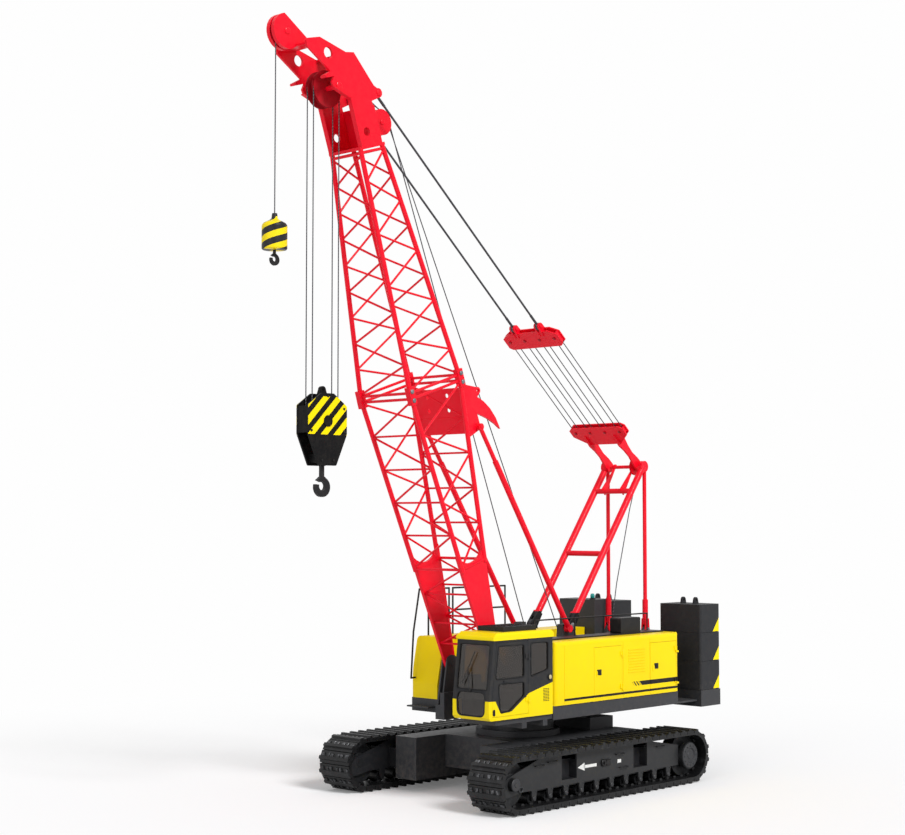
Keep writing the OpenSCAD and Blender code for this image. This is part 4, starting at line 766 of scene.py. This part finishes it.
# Rope on the drums
# One layer of turns beside each other, as a surface of revolution whose radius is a sine wave's absolute
# value, one hump to a turn.
drum_z = 2.35
drum_x = {"main": -0.3, "auxiliary": -1.5, "luffing": -2.7}
drum_half, turn_pitch = 0.285, 0.0438
t = np.linspace(-drum_half, drum_half, 12 * 13 + 1)
wave = 0.262 + 0.02 * np.abs(np.sin(np.pi * (t + drum_half) / turn_pitch))
layer = np.concatenate([[(0.2, -0.286)], np.stack([wave, t], -1), [(0.2, 0.286)]])
for name, x in drum_x.items():
    made = [turned(layer, (x, 0, drum_z), along_y, 40)]
    put(f"{name}_drum_rope", made, rope_skin, f"{name}_drum", True)

# Luffing rope and the pins of its bridles
# Eight falls run between the two bridles. Each bridle has four sheaves, whose pins have domed dark red heads
# on both plates. One rope leads from the gantry's head to the luffing drum.
boom_a = math.radians(72)
foot = np.array([1.443, 2.657])


def on_boom(n, s):
    """World x and z of the place n in front of the boom's axis and s along it."""
    c, d = math.cos(boom_a), math.sin(boom_a)
    return foot + np.array([s * c + n * d, s * d - n * c])


gantry_top = np.array([-3.776, 6.883])
pendant_pin = (-0.49, 11.83)
stay = on_boom(*pendant_pin) - gantry_top
stay /= float(np.hypot(*stay))
stay_normal = np.array([stay[1], 0.0, -stay[0]])
sheave_y = (-0.63, -0.21, 0.21, 0.63)


def on_stay(t, y):
    """Points t along the line from the gantry's top to the boom head's pendant pin, y from the middle."""
    p = gantry_top + stay * np.asarray(t, float)[..., None]
    return np.stack([p[..., 0], np.full(p.shape[:-1], y), p[..., 1]], -1)


made = []
for y in sheave_y:
    for dy in (-0.083, 0.083):
        made.append(swept(on_stay(np.linspace(1.25, 4.24, 24), y + dy), rope_r, 8))
falls = put("luffing_falls", made, rope_skin, None, True)
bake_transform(falls)

pin_head = [(0.036, -0.012), (0.036, 0.008), (0.024, 0.014), (0.0, 0.016)]
for t, body, name in ((4.24, "pendants", "floating"), (1.25, "lower_bridle", "lower")):
    made = []
    for y in sheave_y:
        for face in (-stay_normal, stay_normal):
            made.append(turned(pin_head, on_stay(t, y) + face * 0.078, face, 20))
    put(f"{name}_bridle_pins", made, dark_red_painted_shade, body)

path = np.array([(-3.9, 0.315, 6.99), (-3.93, 0.31, 6.85), (-3.6, 0.28, 5.9), (-3.2, 0.2, 4.2),
                 (-2.98, 0.1, 2.5)])
path = np.stack([np.interp(np.linspace(0, 4, 25), np.arange(5), path[:, k]) for k in range(3)], -1)
put("luffing_lead", [swept(path, rope_r, 8)], rope_skin, "upperworks", True)

# Hoist ropes
# Each leaves the top of its drum, runs straight to the guide sheave behind the boom head, bends over it and
# goes on to the head sheaves.
guide_place = (-0.8, 11.266)


def hoist_rope(name, drum, head, y):
    """A rope from its drum's tangent to the guide sheave, round that and on to head, as points along
    straight runs and an arc."""
    guide = on_boom(*guide_place)
    r_drum, r_guide = 0.285, 0.226
    line = guide - drum
    a = math.atan2(line[1], line[0])
    lean = math.asin((r_drum - r_guide) / float(np.hypot(*line)))
    out = a + math.pi / 2 - lean
    start = drum + r_drum * np.array([math.cos(out), math.sin(out)])
    to_head = math.atan2(*(head - guide)[::-1]) + math.pi / 2
    turn = np.linspace(out, to_head, 10)
    arc = guide + r_guide * np.stack([np.cos(turn), np.sin(turn)], -1)
    t = np.linspace(0, 1, 50)[:, None]
    u = np.linspace(0, 1, 9)[1:, None]
    flat = np.concatenate([start * (1 - t) + arc[0] * t, arc[1:], arc[-1] * (1 - u) + head * u])
    path = np.stack([flat[:, 0], np.full(len(flat), y), flat[:, 1]], -1)
    o = put(name, [swept(path, rope_r, 8, up=(0.05, 0.99, 0.1))], rope_skin, None, True)
    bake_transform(o)


hoist_rope("main_hoist_rope", np.array([drum_x["main"], drum_z]), on_boom(0.3, 12.36), 0.03)
hoist_rope("auxiliary_hoist_rope", np.array([drum_x["auxiliary"], drum_z]), on_boom(0.96, 13.4), -0.012)

# Hook block and ball
# Steel side plates and a cast ball, black with yellow warning stripes; the stripes are painted on.
block_x, sheave_z = 5.696, 7.553


def block_stripes(tree, place, base):
    """Slanted bands about 0.23 m apart on the two side plates, a black one through the sheave axis."""
    xyz = add(tree, "SeparateXYZ", {0: place}).outputs
    lean = add(tree, "Math", {0: xyz["X"], 1: xyz["Z"]}, operation="ADD").outputs[0]
    lean = add(tree, "Math", {0: lean}, operation="SUBTRACT", _1=block_x + sheave_z).outputs[0]
    turn = add(tree, "Math", {0: lean}, operation="PINGPONG", _1=0.165).outputs[0]
    band = add(tree, "Math", {0: turn}, operation="GREATER_THAN", _1=0.078).outputs[0]
    side = add(tree, "Math", {0: xyz["Y"]}, operation="ABSOLUTE").outputs[0]
    face = between(tree, side, 0.165, 0.175)
    zone = both_of(tree, between(tree, xyz["Z"], 7.29, 8.02), face)
    return lay(tree, both_of(tree, band, zone), base, "#f8e000")


def ball_stripes(tree, place, base):
    """Two black bands that wind round the ball, each rising 0.5 m a turn."""
    centred = add(tree, "Mapping", {"Vector": place}, Location=(-6.917, 0.0, -11.059))
    xyz = add(tree, "SeparateXYZ", {0: centred.outputs[0]}).outputs
    angle = add(tree, "Math", {0: xyz["Y"], 1: xyz["X"]}, operation="ARCTAN2").outputs[0]
    rise = add(tree, "Math", {0: xyz["Z"]}, operation="MULTIPLY", _1=-2 * math.pi / 0.25).outputs[0]
    wind = add(tree, "Math", {0: angle, 2: rise}, operation="MULTIPLY_ADD", _1=2.0).outputs[0]
    wave = add(tree, "Math", {0: wind}, operation="COSINE").outputs[0]
    band = add(tree, "Math", {0: wave}, operation="GREATER_THAN", _1=-0.05).outputs[0]
    top = add(tree, "Math", {0: xyz["Z"]}, operation="GREATER_THAN", _1=0.3).outputs[0]
    return lay(tree, both_of(tree, band, top, "MAXIMUM"), base, "#17171a")


dress(painted("block_enamel", ("#0e0e10", "#0a0a0b"), 0.4, shine=0.1, colour=block_stripes), "main_block")
dress(painted("ball_enamel", ("#f9e000", "#f3d600"), 0.35, colour=ball_stripes), "auxiliary_ball")

# Bolt heads on the block's two side plates
# Each is given by its distance from the block's middle line and its height.
bolt_places = ((-0.15, 6.8), (0.15, 6.8), (-0.42, 7.36), (0.42, 7.36), (-0.42, 7.8), (0.42, 7.8),
               (0.0, 8.03))
made = []
for sign in (-1, 1):
    heads = [(block_x + dx, sign * 0.17, z) for dx, z in bolt_places]
    made.append(bolts(heads, sign * along_y, 0.026, 0.02))
put("block_bolts", made, black, "main_block")


# Rungs and foot lacing of the boom's butt section
# Thin tubes welded square across the lattice at its nodes, and crossed between the two foot plates.
def boom_tube(a, b, r=0.021):
    """A tube between two places (n, y, s) on the boom."""
    ends = [on_boom(k[0], k[2]) for k in (a, b)]
    path = np.array([(e[0], k[1], e[1]) for e, k in zip(ends, (a, b))])
    path = path[0] + (path[1] - path[0]) * np.linspace(0, 1, 5)[:, None]
    return swept(path, r, 10, up=(0.31, 0.22, 0.92))


joint_s, joint_n = 5.95, 0.74
tubes = []
for s in 2.24 + 0.724 * np.arange(1, 5):
    n, y = 0.13 + 0.61 * s / joint_s, 0.64 + 0.07 * s / joint_s
    tubes += [boom_tube((face * n, y, s), (face * n, -y, s)) for face in (-1, 1)]
heights = (2.2, 1.65, 0.98, 0.5)
for front in (-1, 1):
    for i, (s, t) in enumerate(zip(heights, heights[1:])):
        y = 0.63 * (-1) ** i * front
        n, m = 0.1 + 0.107 * s, 0.1 + 0.107 * t
        tubes.append(boom_tube((front * n, y, s), (front * m, -y, t)))
        tubes.append(boom_tube((front * m, y, t), (front * m, -y, t)))
put("boom_rungs", tubes, red, "boom", True)

# Flanges of the boom head
# Flat bars welded along the front edges of the head's two side plates, which stiffen them.
flange_rims = [(0, -0.006), (0, 0.012), (0.003, 0.015)]
edge = ((0.3, 10.88), (0.315, 11.836), (0.69, 12.11))
made = []
for low_end, high_end in zip(edge, edge[1:]):
    a, b = on_boom(*low_end), on_boom(*high_end)
    bar_len = float(np.hypot(*(b - a)))
    u = np.array([b[0] - a[0], 0.0, b[1] - a[1]]) / bar_len
    strip = oblong(bar_len / 2 + 0.004, 0.055)
    for y in (-0.425, 0.425):
        middle = ((a[0] + b[0]) / 2, y, (a[1] + b[1]) / 2)
        made.append(plates(strip, flange_rims, middle, u, -along_y, np.cross(u, -along_y)))
put("head_flanges", made, red, "boom")


# Pins
# Turned steel pins with domed heads hold the boom's foot, the section joint, the pendants and the gantry.
def pin(x, y, z, r, shoulder, heights, n):
    """A pin's domed head that looks away from the crane's middle: straight up to the second height, then
    drawn in to the shoulder's radius and to a point."""
    return turned(np.column_stack([(r, r, shoulder, 0.0), heights]), (x, y, z), along_y * np.sign(y), n)


# place on the boom, radius and distance from the middle of the pins in the boom's head
head_pins = ((0.54, 12.1, 0.075, 0.45), (*pendant_pin, 0.06, 0.45), (1.224, 13.3, 0.07, 0.11),
             (*guide_place, 0.055, 0.065))
made = []
for sign in (-1, 1):
    for n, s, r, y in head_pins:
        x, z = on_boom(n, s)
        made.append(pin(x, sign * y, z, r, r * 0.75, (-0.006, 0.012, 0.022, 0.024), 24))
put("boom_head_pins", made, red, "boom")
made = []
for sign in (-1, 1):
    for n in (-joint_n, joint_n):
        for ds in (-0.09, 0.09):
            x, z = on_boom(n, joint_s + ds)
            made.append(pin(x, sign * 0.772, z, 0.045, 0.03, (-0.01, 0.016, 0.026, 0.028), 20))
put("boom_joint_pins", made, machined, "boom")
made = []
for sign in (-1, 1):
    made.append(pin(foot[0], sign * 0.731, foot[1], 0.11, 0.08, (-0.02, 0.004, 0.016, 0.02), 28))
    made.append(pin(-1.105, sign * 0.615, 3.357, 0.075, 0.05, (-0.01, 0.01, 0.02, 0.022), 24))
    made.append(pin(-3.836, sign * 0.605, 3.15, 0.06, 0.04, (-0.01, 0.01, 0.02, 0.022), 24))
put("frame_pins", made, machined, "upperworks")
